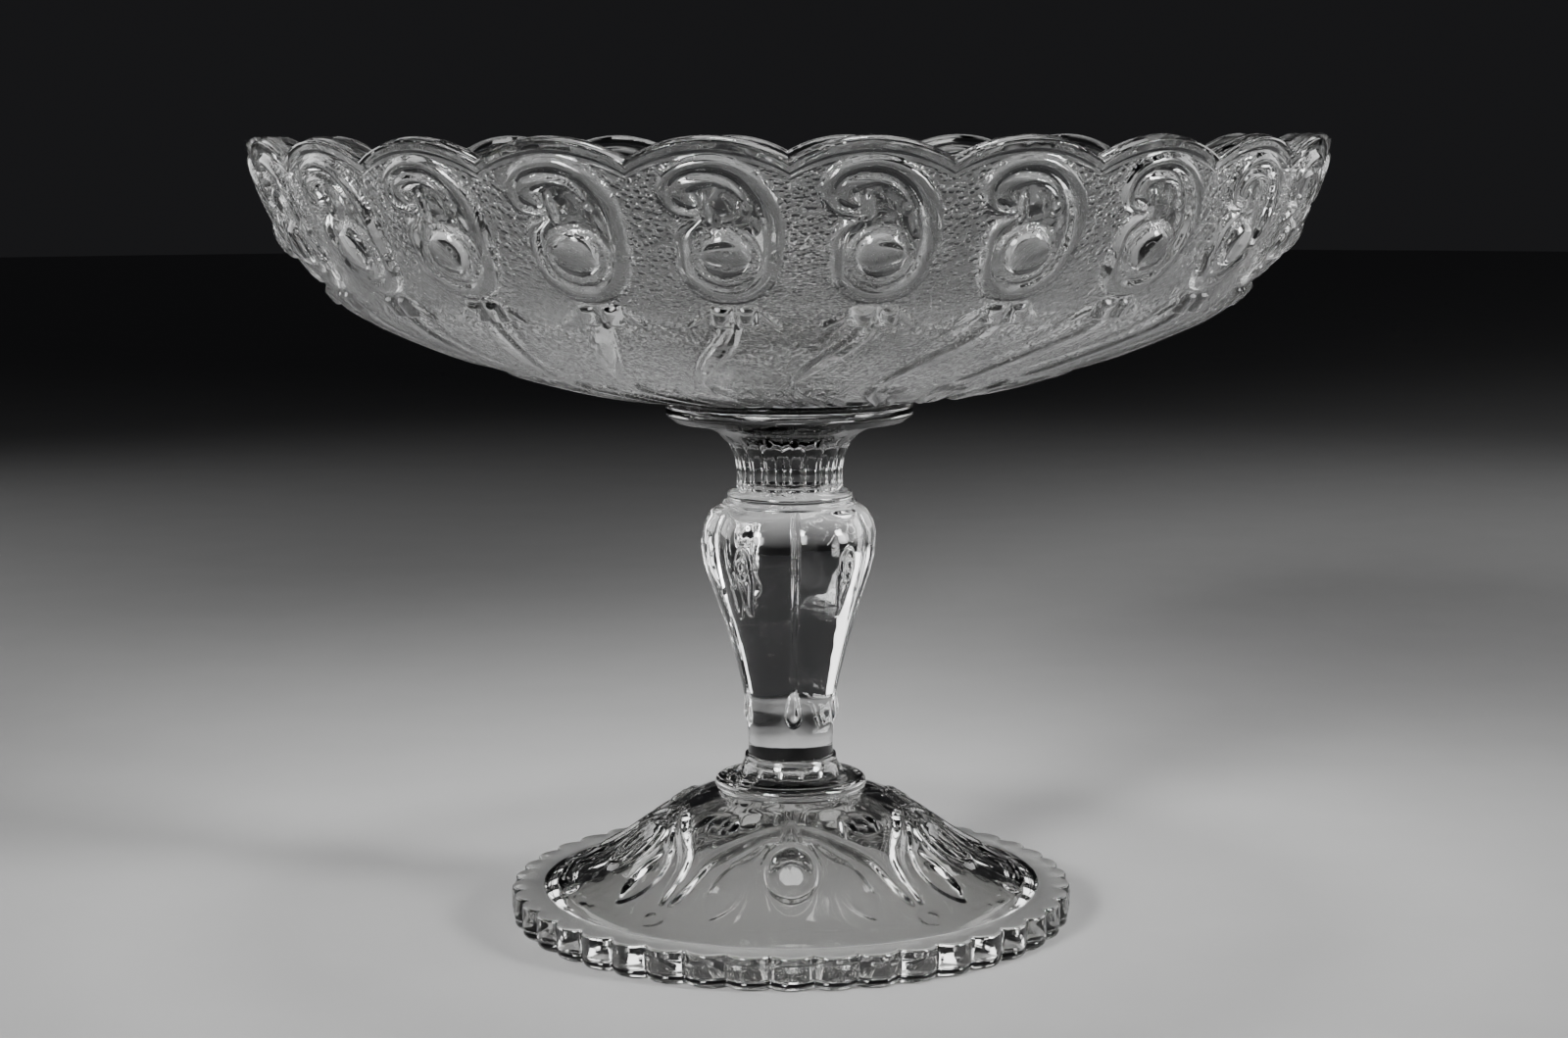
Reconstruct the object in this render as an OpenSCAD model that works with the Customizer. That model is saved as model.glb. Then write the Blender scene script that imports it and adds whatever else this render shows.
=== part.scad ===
// Footed compote bowl in pressed clear glass: a scalloped bowl, the wafer of glass that joins it
// to the stem, a lobed baluster stem and a hollow domed foot with a fluted border.
// Millimetres, +Z up. The origin is on the floor under the centre of the foot. The pieces are
// joined hot, face to face, in a column: foot, stem, wafer, bowl.

/* [Bowl] */
// Greatest diameter of the bowl, over the rim's scallops
bowl_d = 250; // [230:1:270]
// Height of the bowl, from its seat to the tops of the scallops
bowl_h = 61.8; // [56:0.1:70]
// Height of the decorated side wall, from the tops of the scallops down
side_h = 35.5; // [32:0.1:38]
// Diameter at the bottom of the side wall
hip_d = 211; // [200:1:216]
// Height of the step below the side wall, where the underside begins
hip_h = 2.9; // [1:0.1:4]
// How far the underside starts inside the bottom of the side wall
hip_in = 0.9; // [0:0.1:2]
// How far the flat seat under the bowl runs past the wafer's edge
seat_margin = 3; // [0.5:0.1:6]
// Thickness of the bowl's wall
wall_t = 4.6; // [3.5:0.1:6]
// Thickness of the lip
lip_t = 3.4; // [2.5:0.1:4.5]

/* [Rim] */
// Number of scallops on the rim, with one scroll motif under each
scallops = 24; // [12:1:32]
// Height of the scallops over the notches between them
scallop_rise = 4.5; // [2:0.1:6]
// Width of the smooth band that follows the scallops
band_w = 3; // [1.5:0.1:5]
// How far the band stands out from the wall
band_rise = 0.7; // [0.2:0.1:1.5]

/* [Scroll motif] */
// How far each motif is turned from the middle of its scallop, in degrees
motif_turn = 1.3; // [-3:0.1:3]
// Distance from the rim's level down the wall to the centre of the round boss
boss_drop = 24.6; // [20:0.1:27]
// Diameter of the round boss
boss_d = 10.4; // [7:0.1:13]
// How far the boss stands out from the wall
boss_rise = 1.9; // [0.8:0.1:3]
// Radius of the cord's loop round the boss
loop_r = 9.2; // [8:0.1:10]
// Half width of the long sweep that climbs from the loop to the top of the scroll
sweep_w = 12.2; // [10:0.1:13]
// Height of that sweep
sweep_h = 20; // [16:0.1:21]
// Half width of the scroll's head, from its top to its far side
head_w = 8; // [6:0.1:9]
// Height of the head, from its top to its far side
head_h = 6.2; // [4:0.1:7]
// Half width of the curl that ends the scroll
curl_w = 4.2; // [3:0.1:5]
// Height of the curl
curl_h = 3.6; // [2.5:0.1:4.5]
// Width of the scroll's cord
cord_w = 3; // [1.5:0.1:4]
// How far the cord stands out from the wall
cord_rise = 1.1; // [0.4:0.1:2]
// Width of each of the two pegs under the motif
peg_w = 5.2; // [3:0.1:6]
// Height of each peg
peg_h = 5.2; // [4:0.1:7]
// How far the pegs stand out from the foot of the side wall
peg_rise = 0.9; // [0.3:0.1:1.5]
// Distance between the two pegs, centre to centre
peg_pitch = 6.8; // [6.2:0.1:9]
// Width of the curved rib that runs from each motif towards the seat
rib_w = 4; // [2:0.1:6]
// How far the rib stands out from the underside
rib_rise = 0.9; // [0.3:0.1:1.5]
// How far the rib swings to one side on its way
rib_swing = 10; // [0:0.5:12]
// Length of the rib along the underside
rib_len = 36; // [20:1:50]

/* [Joining wafer] */
// How far the wafer's edge stays inside the flange's edge
wafer_inset = 3.5; // [1:0.1:8]
// Thickness of the wafer
wafer_t = 0.9; // [0.6:0.1:2]

/* [Stem] */
// Height of the stem, from the foot's seat to the top of its flange
stem_h = 84.8; // [78:0.1:95]
// Diameter of the flange at the top of the stem
flange_d = 59; // [56:1:66]
// Height of the flange's straight edge
flange_edge = 2.4; // [1.5:0.1:4]
// Height of the bevel under the flange's edge
flange_bevel = 1.7; // [0.5:0.1:3]
// Diameter of the neck under the flange
neck_d = 24; // [21:0.1:27]
// Height of the neck with its flare, from the collar to the bevel
neck_h = 16.4; // [14:0.1:20]
// Number of flutes round the neck
neck_flutes = 16; // [10:1:20]
// Diameter of the collar between the neck and the baluster
collar_d = 30; // [29:0.1:33]
// Height of the collar
collar_h = 3.9; // [3:0.1:5]
// Greatest diameter of the baluster, over its lobes
body_d = 42.2; // [38:0.1:46]
// Number of lobes round the baluster
lobes = 5; // [4:1:8]
// Depth of the grooves between the lobes
groove = 1.7; // [0.5:0.1:2.5]
// How far the stem is turned on the foot, in degrees
stem_turn = 4; // [-36:1:36]
// Outer radius of the spiral on each lobe
spiral_r = 4.4; // [3:0.1:5]
// Width of the spiral's cord
spiral_w = 1.5; // [1:0.1:2]
// Diameter of the bead at the lower end of each groove
bead_d = 4.6; // [3:0.1:6]

/* [Foot] */
// Height of the foot, from the floor to the seat for the stem
foot_h = 39.5; // [36:0.1:45]
// Diameter of the foot, over the flutes of its border
foot_d = 135.2; // [125:0.1:145]
// Height of the fluted border
border_h = 8.2; // [6:0.1:10]
// Diameter inside the border, where the dome begins
dome_d = 119.2; // [112:0.1:122]
// Number of flutes round the border
flutes = 42; // [36:1:48]
// Diameter of each flute
flute_d = 11.6; // [11:0.1:13]
// Height of the rounded lower edge of the border
toe = 1; // [0.4:0.1:2]
// Width of the ledge that the seat leaves round the end of the stem
seat_ledge = 0.6; // [0:0.1:1.5]
// Diameter of the ring round the foot's neck
ring_d = 36.4; // [35:0.1:40]
// Thickness of that ring
ring_t = 3; // [2:0.1:4]
// Height of the neck, from the seat down to the ring's middle
foot_neck_h = 7; // [6:0.1:8]
// Thickness of the dome's wall
dome_t = 4.2; // [3:0.1:5]
// Number of times the dome's ornament is repeated
petals = 5; // [3:1:5]
// Length of each oval frame on the dome
oval_h = 17; // [12:0.1:18]
// Width of each oval frame
oval_w = 11.4; // [8:0.1:13]
// Width of the raised edge of the frames
frame_w = 1.5; // [1:0.1:2]
// How far the dome's ornament stands out
relief = 0.8; // [0.4:0.1:1.2]
// Length of the rounded ridges on the dome
ridge_h = 15; // [10:0.1:17]
// Width of the rounded ridges
ridge_w = 3.2; // [2:0.1:4]
// How far each of a pair of ridges is turned from the middle between two ovals, in degrees
ridge_turn = 7; // [5:0.5:9]
// How far each ridge leans, in degrees
ridge_lean = 8; // [0:1:15]

/* [Hidden] */
// Roundness of turned shapes
$fn = 96;
// How far a cut runs past the face that it opens, and a relief is sunk into its wall
over = 1.2;

stem_z = foot_h;
wafer_z = stem_z + stem_h;
seat_z = wafer_z + wafer_t;
rim_z = seat_z + bowl_h;
bowl_r = bowl_d / 2;
hip_r = hip_d / 2;
flange_r = flange_d / 2;
wafer_r = flange_r - wafer_inset;
seat_r = wafer_r + seat_margin;

// Handles of the curves below, as shares of their run inwards and of their drop
side_shares = [0.23, 0.61];
under_shares = [0.49, 0.79];
flare_shares = [1, 0.1];
crown_shares = [0.5, 0.21];
apron_shares = [0.42, 0.66];
neck_shares = [0.1, 0.75];

// A curve goes from one point to another, pulled towards a handle
function curve(from, to, shares) = [from, [
    from.x + shares[0] * (to.x - from.x),
    from.y + shares[1] * (to.y - from.y)
], to];

// Point at the share t of a curve's way
function along(c, t) = pow(1 - t, 2) * c[0] + 2 * t * (1 - t) * c[1] + t * t * c[2];

// Direction square to a curve, to the right of its way
function square_to(c, t) =
    let (d = (1 - t) * (c[1] - c[0]) + t * (c[2] - c[1]))
    [-d.y, d.x] / norm(d);

// Length of a curve, measured on short chords
function curve_length(c, n = 24) =
    sum([for (i = [1:n]) norm(along(c, i / n) - along(c, (i - 1) / n))]);

function sum(list, i = 0) = i < len(list) ? list[i] + sum(list, i + 1) : 0;

side = curve([bowl_r, rim_z], [hip_r, rim_z - side_h], side_shares);
side_len = curve_length(side);
hip_foot = [hip_r - hip_in, rim_z - side_h - hip_h];
under = curve(hip_foot, [seat_r, seat_z], under_shares);
under_len = curve_length(under);

// Place on a turned face: c is its outline, a the angle from the front, t the share of the
// outline's way and h the height over the face
function place(c, a, t, h) =
    let (p = along(c, t) + h * square_to(c, t))
    [p.x * sin(a), -p.x * cos(a), p.y];

// The same place with x and s as lengths, across the face and down its outline
mean_r = (bowl_r + hip_r) / 2;
on_side = function(x, s, h) place(side, x / mean_r * 180 / PI, s / side_len, h);
on_under = function(x, s, h)
    let (t = s / under_len)
    place(under, x / along(under, t).x * 180 / PI, t, h);

// Rim: depth of its edge under the tops of the scallops, at the angle a from the front
pitch = 360 / scallops;
notch_x = bowl_r * sin(pitch / 2);
scallop_r = (notch_x * notch_x + scallop_rise * scallop_rise) / (2 * scallop_rise);
function from_middle(a) = a - pitch * floor(a / pitch) - pitch / 2;
function edge_drop(a) = scallop_r - sqrt(pow(scallop_r, 2) - pow(bowl_r * sin(from_middle(a)), 2));

// Rings of points round the bowl, from the seat up the outside, over the lip and down the inside.
// Under the bowl each ring is turned by half a facet against the next one
columns = scallops * 4;
angles = [for (i = [0:columns - 1]) 360 * i / columns];
under_steps = 3;
function under_ring(t, h) = [
    for (a = angles) place(under, a - t * under_steps * 180 / columns, t, h)
];
function side_ring(share, h) = [
    for (a = angles)
        let (top = edge_drop(a) + band_w)
        place(side, a, (top + share * (side_len - top)) / side_len, h)
];
function band_ring(share, h) = [
    for (a = angles) place(side, a, (edge_drop(a) + share * band_w) / side_len, h)
];
side_steps = 3;
bowl_rings = concat(
    [for (i = [under_steps:-1:0]) under_ring(i / under_steps, 0)],
    [for (i = [side_steps:-1:0]) side_ring(i / side_steps, 0)],
    [band_ring(0.5, band_rise), band_ring(0, 0)],
    [band_ring(0.4, -lip_t), band_ring(1, -wall_t), side_ring(0.5, -wall_t)],
    [under_ring(0.15, -wall_t), under_ring(0.5, -wall_t), under_ring(0.9, -wall_t)]
);

// Closed solid through rings of equally many points, with a fan over each end
module rings_solid(rings) {
    n = len(rings[0]);
    last = len(rings) - 1;
    first_mid = sum3(rings[0]) / n;
    last_mid = sum3(rings[last]) / n;
    sides = [
        for (i = [0:last - 1], k = [0:n - 1])
            let (a = i * n + k, b = i * n + (k + 1) % n)
            each [[a, a + n, b], [b, a + n, b + n]]
    ];
    ends = [
        for (k = [0:n - 1])
            let (j = (k + 1) % n)
            each [[(last + 1) * n, k, j], [(last + 1) * n + 1, last * n + j, last * n + k]]
    ];
    polyhedron(concat([for (r = rings) each r], [first_mid, last_mid]), concat(sides, ends));
}

function sum3(list, i = 0) = i < len(list) ? list[i] + sum3(list, i + 1) : [0, 0, 0];

// Raised strip along a path of [x, s] on a turned face: section is a list of [across, height], and
// sizes gives the share of the full section at each point of the path
module strip(path, section, sizes, onto) {
    last = len(path) - 1;
    rings_solid([
        for (i = [0:last])
            let (
                way = path[min(i + 1, last)] - path[max(i - 1, 0)],
                across = [-way.y, way.x] / norm(way)
            )
            [for (p = section)
                let (q = path[i] + sizes[i] * p.x * across)
                onto(q.x, q.y, p.y > 0 ? sizes[i] * p.y : p.y)]
    ]);
}

// Section of a raised ridge whose flanks meet its wall over the width w, and go on inside it
function ridged(w, rise) =
    let (foot = w / 2 * (1 + over / rise))
    [[-foot, -over], [0, rise], [foot, -over]];

// Points on an oval arc round the centre [x, s], from the angle a0 to a1, in n steps
function oval_arc(centre, w, h, a0, a1, n) = [
    for (i = [0:n])
        let (a = a0 + (a1 - a0) * i / n)
        centre + [w * cos(a), h * sin(a)]
];

// The scroll: a loop round the boss, a long sweep to the top, the head and the curl
sweep_x = loop_r - sweep_w;
scroll_top = boss_drop - sweep_h;
head_s = scroll_top + head_h;
curl_x = sweep_x - head_w + curl_w;
scroll_path = concat(
    oval_arc([0, boss_drop], loop_r, loop_r, 220, 0, 5),
    [for (p = oval_arc([sweep_x, boss_drop], sweep_w, sweep_h, 0, -90, 3)) if (p.y < boss_drop) p],
    [for (p = oval_arc([sweep_x, head_s], head_w, head_h, -90, -180, 2)) if (p.x < sweep_x) p],
    [for (p = oval_arc([curl_x, head_s], curl_w, curl_h, 180, 80, 2)) if (p.y > head_s) p]
);

// Domed boss, its axis square to the wall
module boss() {
    out = square_to(side, boss_drop / side_len);
    p = along(side, boss_drop / side_len);
    translate([0, -p.x, p.y])
        rotate([atan2(out.x, out.y), 0, 0])
            translate([0, 0, -over])
                hull() {
                    cylinder(h = over, d = boss_d, $fn = 8);
                    cylinder(h = over + boss_rise, d = boss_d * 0.5, $fn = 8);
                }
}

// Two short upright pegs on the hip, under the boss
module pegs() {
    for (x = [-peg_pitch / 2, peg_pitch / 2])
        translate([x, peg_w / 2 - hip_r - peg_rise, hip_foot.y - peg_rise / 4])
            cylinder(h = peg_h, d = peg_w, $fn = 6);
}

// Curved leaf on the underside, from under the pegs to its point
module rib() {
    steps = 2;
    strip(
        [for (i = [0:steps]) [-rib_swing * sin(90 * i / steps), rib_len * (0.06 + i / steps)]],
        ridged(rib_w, rib_rise),
        [0.8, 1, 0.2],
        on_under
    );
}

module bowl() {
    color([0.9, 0.93, 0.94, 0.5])
        union() {
            rings_solid(bowl_rings);
            for (i = [0:scallops - 1])
                rotate([0, 0, pitch * (i + 0.5) + motif_turn]) {
                    strip(
                        scroll_path,
                        ridged(cord_w, cord_rise),
                        [for (p = scroll_path) 1],
                        on_side
                    );
                    boss();
                    pegs();
                    rib();
                }
        }
}

// Disc with a rounded edge
module wafer() {
    color([0.88, 0.92, 0.93, 0.5])
        translate([0, 0, wafer_z + wafer_t / 2])
            rotate_extrude()
                intersection() {
                    union() {
                        translate([0, -wafer_t / 2])
                            square([wafer_r - wafer_t / 2, wafer_t]);
                        translate([wafer_r - wafer_t / 2, 0])
                            circle(d = wafer_t, $fn = 24);
                    }
                    translate([0, -wafer_t])
                        square([wafer_r, 2 * wafer_t]);
                }
}

// Heights along the stem
body_h = stem_h - flange_edge - flange_bevel - neck_h - collar_h;
body_z = stem_z;
collar_z = body_z + body_h;
neck_z = collar_z + collar_h;
bevel_z = neck_z + neck_h;
neck_r = neck_d / 2;
collar_r = collar_d / 2;
body_r = body_d / 2;
flare_in = flange_r - 1.2 * flange_bevel;
flare = curve([flare_in, bevel_z], [neck_r, neck_z + neck_h * 0.25], flare_shares);
flare_steps = 6;

// Flange, flared neck and collar, turned in one outline
module stem_top() {
    rotate_extrude($fn = 48)
        polygon(concat(
            [[0, wafer_z], [flange_r, wafer_z], [flange_r, wafer_z - flange_edge]],
            [for (i = [0:flare_steps]) along(flare, i / flare_steps)],
            [
                [neck_r, neck_z],
                [collar_r - collar_h / 3, neck_z],
                [collar_r, neck_z - collar_h / 3],
                [collar_r, neck_z - collar_h * 0.7],
                [collar_r * 1.06, collar_z - over / 2],
                [collar_r * 0.9, collar_z - over],
                [0, collar_z - over]
            ]
        ));
}

// One rounded flute of the neck, at the angle 0
module neck_flute() {
    r = neck_r * sin(180 / neck_flutes) * 0.92;
    tall = neck_h * 0.62;
    translate([0, -neck_r, neck_z - over])
        hull() {
            cylinder(h = over + tall * 0.6, r = r, $fn = 10);
            cylinder(h = over + tall, r = r * 0.3, $fn = 10);
        }
}

// Baluster: shares of its height, of its greatest radius and of the depth of its grooves
body_shares = [
    [0, 0.49, 0], [0.07, 0.485, 0], [0.14, 0.5, 0], [0.22, 0.54, 0.25], [0.31, 0.58, 0.3],
    [0.43, 0.67, 0.4], [0.55, 0.78, 0.6], [0.67, 0.9, 0.85], [0.76, 0.975, 1],
    [0.86, 1, 1], [0.94, 0.965, 1], [1, 0.8, 0.8]
];
body_columns = lobes * 8;
function lobe(a, depth) = depth * groove * pow(1 - abs(sin(a * lobes / 2)), 1.5);
body_rings = [
    for (row = body_shares) [
        for (i = [0:body_columns - 1])
            let (a = 360 * i / body_columns, r = row[1] * body_r - lobe(a, row[2]))
            [r * sin(a), -r * cos(a), body_z + row[0] * body_h]
    ]
];

// Shares of the radius and of the grooves' depth at the height share t
function body_share(t, k) = lookup(t, [for (row = body_shares) [row[0], row[k]]]);

// Place on a lobe: x across from its middle, s down from the top of the baluster
on_lobe = function(x, s, h)
    let (
        t = 1 - s / body_h,
        a = x / body_r * 180 / PI,
        r = body_share(t, 1) * body_r - lobe(180 / lobes + a, body_share(t, 2)) + h
    )
    [r * sin(a), -r * cos(a), body_z + t * body_h];

// Spiral with a tail that hangs down, its eye on the middle of the lobe
spiral_drop = body_h * 0.21;
spiral_steps = 8;
spiral_path = concat(
    [[0, spiral_drop + 2.8 * spiral_r]],
    [for (i = [0:spiral_steps])
        let (a = 150 + 55 * i, r = spiral_r * (1 - 0.08 * i))
        [0, spiral_drop] + r * [cos(a), sin(a)]]
);

// Bead that closes a groove at its lower end
module groove_bead() {
    hull() {
        translate([0, -body_r * 0.47, body_z + body_h * 0.2])
            sphere(d = bead_d, $fn = 10);
        translate([0, -body_r * 0.47, body_z + body_h * 0.2 + bead_d])
            sphere(d = bead_d * 0.4, $fn = 8);
    }
}

module stem() {
    color([0.93, 0.95, 0.96, 0.6])
        rotate([0, 0, stem_turn])
            union() {
                stem_top();
                rings_solid(body_rings);
                for (i = [0:neck_flutes - 1])
                    rotate([0, 0, 360 / neck_flutes * i])
                        neck_flute();
                for (i = [0:lobes - 1])
                    rotate([0, 0, 360 / lobes * i]) {
                        groove_bead();
                        rotate([0, 0, 180 / lobes])
                            strip(
                                spiral_path,
                                ridged(spiral_w, spiral_w / 2),
                                [for (p = spiral_path) 1],
                                on_lobe
                            );
                    }
            }
}

// Outline of the foot: the neck, the crown of the dome and its apron, each a curve or a line
ring_z = foot_h - foot_neck_h;
ring_r = ring_d / 2;
dome_r = dome_d / 2;
foot_r = foot_d / 2;
turn_r = dome_r * 0.61;
turn_z = border_h + (ring_z - border_h) * 0.53;
neck_curve = curve([body_shares[0][1] * body_r + seat_ledge, foot_h], [ring_r, ring_z], neck_shares);
crown = curve([ring_r, ring_z - ring_t / 4], [turn_r, turn_z], crown_shares);
apron = curve([turn_r, turn_z], [dome_r + over, border_h], apron_shares);
dome_steps = 5;

// The outer outline, moved inwards by h
function dome_line(h) = concat(
    [for (i = [0:dome_steps]) along(crown, i / dome_steps) - h * square_to(crown, i / dome_steps)],
    [for (i = [1:dome_steps]) along(apron, i / dome_steps) - h * square_to(apron, i / dome_steps)]
);

// Border: a ring whose edge is a row of upright flutes, with a narrower toe below
module border() {
    flute_at = foot_r - flute_d / 2;
    module flutes_outline(inset) {
        circle(r = flute_at);
        for (i = [0:flutes - 1])
            rotate(360 / flutes * i)
                translate([0, -flute_at])
                    circle(d = flute_d - 2 * inset, $fn = 48);
    }
    difference() {
        union() {
            translate([0, 0, toe])
                linear_extrude(border_h - toe)
                    flutes_outline(0);
            linear_extrude(toe)
                flutes_outline(toe / 2);
        }
        translate([0, 0, -over])
            cylinder(h = border_h + 2 * over, r = dome_r);
    }
}

// Hollow dome with its neck, turned in one outline
module dome() {
    outer = dome_line(0);
    inner = dome_line(dome_t);
    last = len(inner) - 1;
    rotate_extrude()
        polygon(concat(
            [[0, foot_h]],
            [for (i = [0:4]) along(neck_curve, i / 4)],
            outer,
            [[dome_r + over, 0], [inner[last].x - over, 0]],
            [for (i = [last - 1:-1:1]) inner[i]],
            [[0, inner[1].y]]
        ));
}

// Ring round the neck
module neck_ring() {
    translate([0, 0, ring_z])
        rotate_extrude()
            translate([ring_r - ring_t / 2, 0])
                circle(d = ring_t, $fn = 32);
}

// Sets its children on the dome at the share t of a curve, facing outwards
module on_dome(c, t) {
    p = along(c, t);
    out = square_to(c, t);
    translate([0, -p.x, p.y])
        rotate([atan2(-out.x, -out.y), 0, 0])
            children();
}

// Outline with half-round ends
module rounded(w, h) {
    square([w, h - w], center = true);
    for (y = [-1, 1])
        translate([0, y * (h - w) / 2])
            circle(d = w, $fn = 48);
}

// Oval frame with a sunk middle
module oval() {
    on_dome(apron, 0.1)
        translate([0, 0, -over])
            linear_extrude(over + relief)
                difference() {
                    rounded(oval_w, oval_h);
                    rounded(oval_w - 2 * frame_w, oval_h - 2 * frame_w);
                }
}

// Round curl high on the dome
module curl() {
    on_dome(crown, 0.6)
        rotate_extrude()
            translate([oval_w / 2 - frame_w, 0])
                circle(d = frame_w, $fn = 24);
}

// Rounded ridge low on the dome, leaning away from its neighbour
module ridge(lean) {
    on_dome(apron, 0.42)
        rotate([0, 0, lean])
            translate([0, 0, -over])
                linear_extrude(over + relief)
                    rounded(ridge_w, ridge_h);
}

module foot() {
    color([0.8, 0.8, 0.78, 0.5])
        union() {
            dome();
            border();
            neck_ring();
            for (i = [0:petals - 1])
                rotate([0, 0, 360 / petals * i]) {
                    oval();
                    rotate([0, 0, 180 / petals])
                        curl();
                    for (side_sign = [-1, 1])
                        rotate([0, 0, 180 / petals + side_sign * ridge_turn])
                            ridge(side_sign * ridge_lean);
                }
        }
}

foot();
stem();
wafer();
bowl();
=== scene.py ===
"""Looks of a footed compote bowl in pressed clear glass.

The bowl, the joining wafer, the stem and the foot are each worked out with numpy as rings of
points round the axis, pushed in and out by the pressed ornament. The bowl is cut into six closed
wedges and the stem into two closed halves, so that each mesh stays light. Sizes are in
millimetres where a docstring names no other unit, and the meshes are made in metres. Angles run in
degrees from the front (-Y) towards the right (+X). Heights are above the floor.
"""

from __future__ import annotations

import logging
import math
from dataclasses import dataclass
from enum import Enum

import bpy
import numpy as np
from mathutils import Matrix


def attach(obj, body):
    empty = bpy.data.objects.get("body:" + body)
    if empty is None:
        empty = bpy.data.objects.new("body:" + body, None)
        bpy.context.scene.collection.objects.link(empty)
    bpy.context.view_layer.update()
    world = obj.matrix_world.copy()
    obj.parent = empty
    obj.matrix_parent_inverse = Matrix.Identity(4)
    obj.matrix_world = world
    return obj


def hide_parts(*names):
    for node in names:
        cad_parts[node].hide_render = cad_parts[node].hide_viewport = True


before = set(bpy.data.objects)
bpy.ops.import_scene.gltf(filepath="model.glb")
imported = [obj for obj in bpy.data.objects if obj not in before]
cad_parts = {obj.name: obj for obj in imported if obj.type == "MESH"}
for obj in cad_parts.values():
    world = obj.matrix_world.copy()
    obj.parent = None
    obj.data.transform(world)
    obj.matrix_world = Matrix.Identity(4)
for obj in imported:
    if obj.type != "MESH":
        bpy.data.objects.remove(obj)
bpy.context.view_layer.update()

log = logging.getLogger("compote")

MM = 0.001
ROOT = "root"
# Least width of a stroke, and least height that counts as ornament
THINNEST = 0.05
TRACE = 0.02
# Radius of the ring next to a pole
POLE_R = 5.0
# Radii of the rings on the flat faces of bowl, wafer and stem, which are fused up to the third
SEAT_RINGS = (9.0, 18.0, 25.55, 27.4)

Array = np.ndarray
Point = tuple[float, float]
StrokePoint = tuple[float, float, float]
Material = bpy.types.Material
Tree = bpy.types.NodeTree
Node = bpy.types.Node
Socket = bpy.types.NodeSocket


class Slot(Enum):
    """Material slots of the record."""

    FOOT = "foot_glass"
    STEM = "stem_glass"
    WAFER = "wafer_glass"
    BOWL = "bowl_glass"


class Face(Enum):
    """Finish of a face: the glass skin, or a face where two pressings are fused."""

    SKIN = 0
    FUSED = 1


def placed(name: str, data: bpy.types.ID) -> bpy.types.Object:
    """Makes an object of a mesh, a light or a camera, and puts it into the scene.

    Args:
        name: name of the object.
        data: the mesh, light or camera.

    Returns:
        The new object.
    """
    made = bpy.data.objects.new(name, data)
    bpy.context.scene.collection.objects.link(made)
    return made


# Lines and ridges


def aside(turn: Array, pitch: float, shift: float = 0.0) -> Array:
    """Angle from the middle of the sector, with sectors of pitch degrees, turned back by shift."""
    return np.mod(turn + shift, pitch) - pitch / 2


def degrees_long(radius: Array | float) -> Array | float:
    """Length round the axis of one degree at a radius, or of an angle times its radius."""
    return radius * math.pi / 180.0


def eased(value: Array, low: float, high: float) -> Array:
    """Cubic step: 0 up to low, 1 from high, and 3t^2 - 2t^3 of the way t between them."""
    t = np.clip((value - low) / (high - low), 0.0, 1.0)
    return t * t * (3.0 - 2.0 * t)


def half_round(distance: Array, width: Array | float, rise: float) -> Array:
    """Height of a rounded ridge over a line.

    The height is rise times the root of 1 - t^2, where t is the distance over half the width.

    Args:
        distance: distance of each point from the line.
        width: width of the ridge there.
        rise: height of the ridge over its middle.

    Returns:
        The height at each point, 0 outside the ridge.
    """
    t = np.abs(distance) / np.maximum(np.asarray(width) / 2, 1e-6)
    return rise * np.sqrt(np.clip(1.0 - t * t, 0.0, 1.0))


def bent(start: Point, handle: Point, end: Point, count: int) -> Array:
    """Points on a curve from start to end that is pulled towards a handle.

    A point at the share t is (1-t)^2 start + 2t(1-t) handle + t^2 end.

    Args:
        start: first point.
        handle: point that pulls the curve.
        end: last point.
        count: number of points, both ends included.

    Returns:
        An array of count points.
    """
    t = np.linspace(0.0, 1.0, count)[:, None]
    return (1 - t) ** 2 * np.array(start) + 2 * t * (1 - t) * np.array(handle) + t * t * np.array(end)


def swept(start: Point, end: Point, pull: Point, count: int) -> Array:
    """Bent curve whose handle stands at the shares pull of the run and drop from start to end."""
    handle = tuple(a - share * (a - b) for a, b, share in zip(start, end, pull))
    return bent(start, handle, end, count)


def arc(centre: Point, half: Point, first: float, last: float, count: int) -> Array:
    """Oval arc: centre + (half_x cos a, half_y sin a), with a from first to last in degrees."""
    a = np.radians(np.linspace(first, last, count))
    return np.stack([centre[0] + half[0] * np.cos(a), centre[1] + half[1] * np.sin(a)], axis=1)


def lengths(points: Array) -> Array:
    """Length along a line from its first point to each point."""
    return np.concatenate([[0.0], np.cumsum(np.hypot(*np.diff(points[:, :2], axis=0).T))])


def respaced(points: Array, count: int) -> Array:
    """The same line with count points at even steps along it.

    Args:
        points: points of the line, one a row.
        count: number of points wanted.

    Returns:
        The new points.
    """
    way = lengths(points)
    marks = np.linspace(0.0, way[-1], count)
    return np.stack([np.interp(marks, way, points[:, k]) for k in range(points.shape[1])], axis=1)


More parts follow.
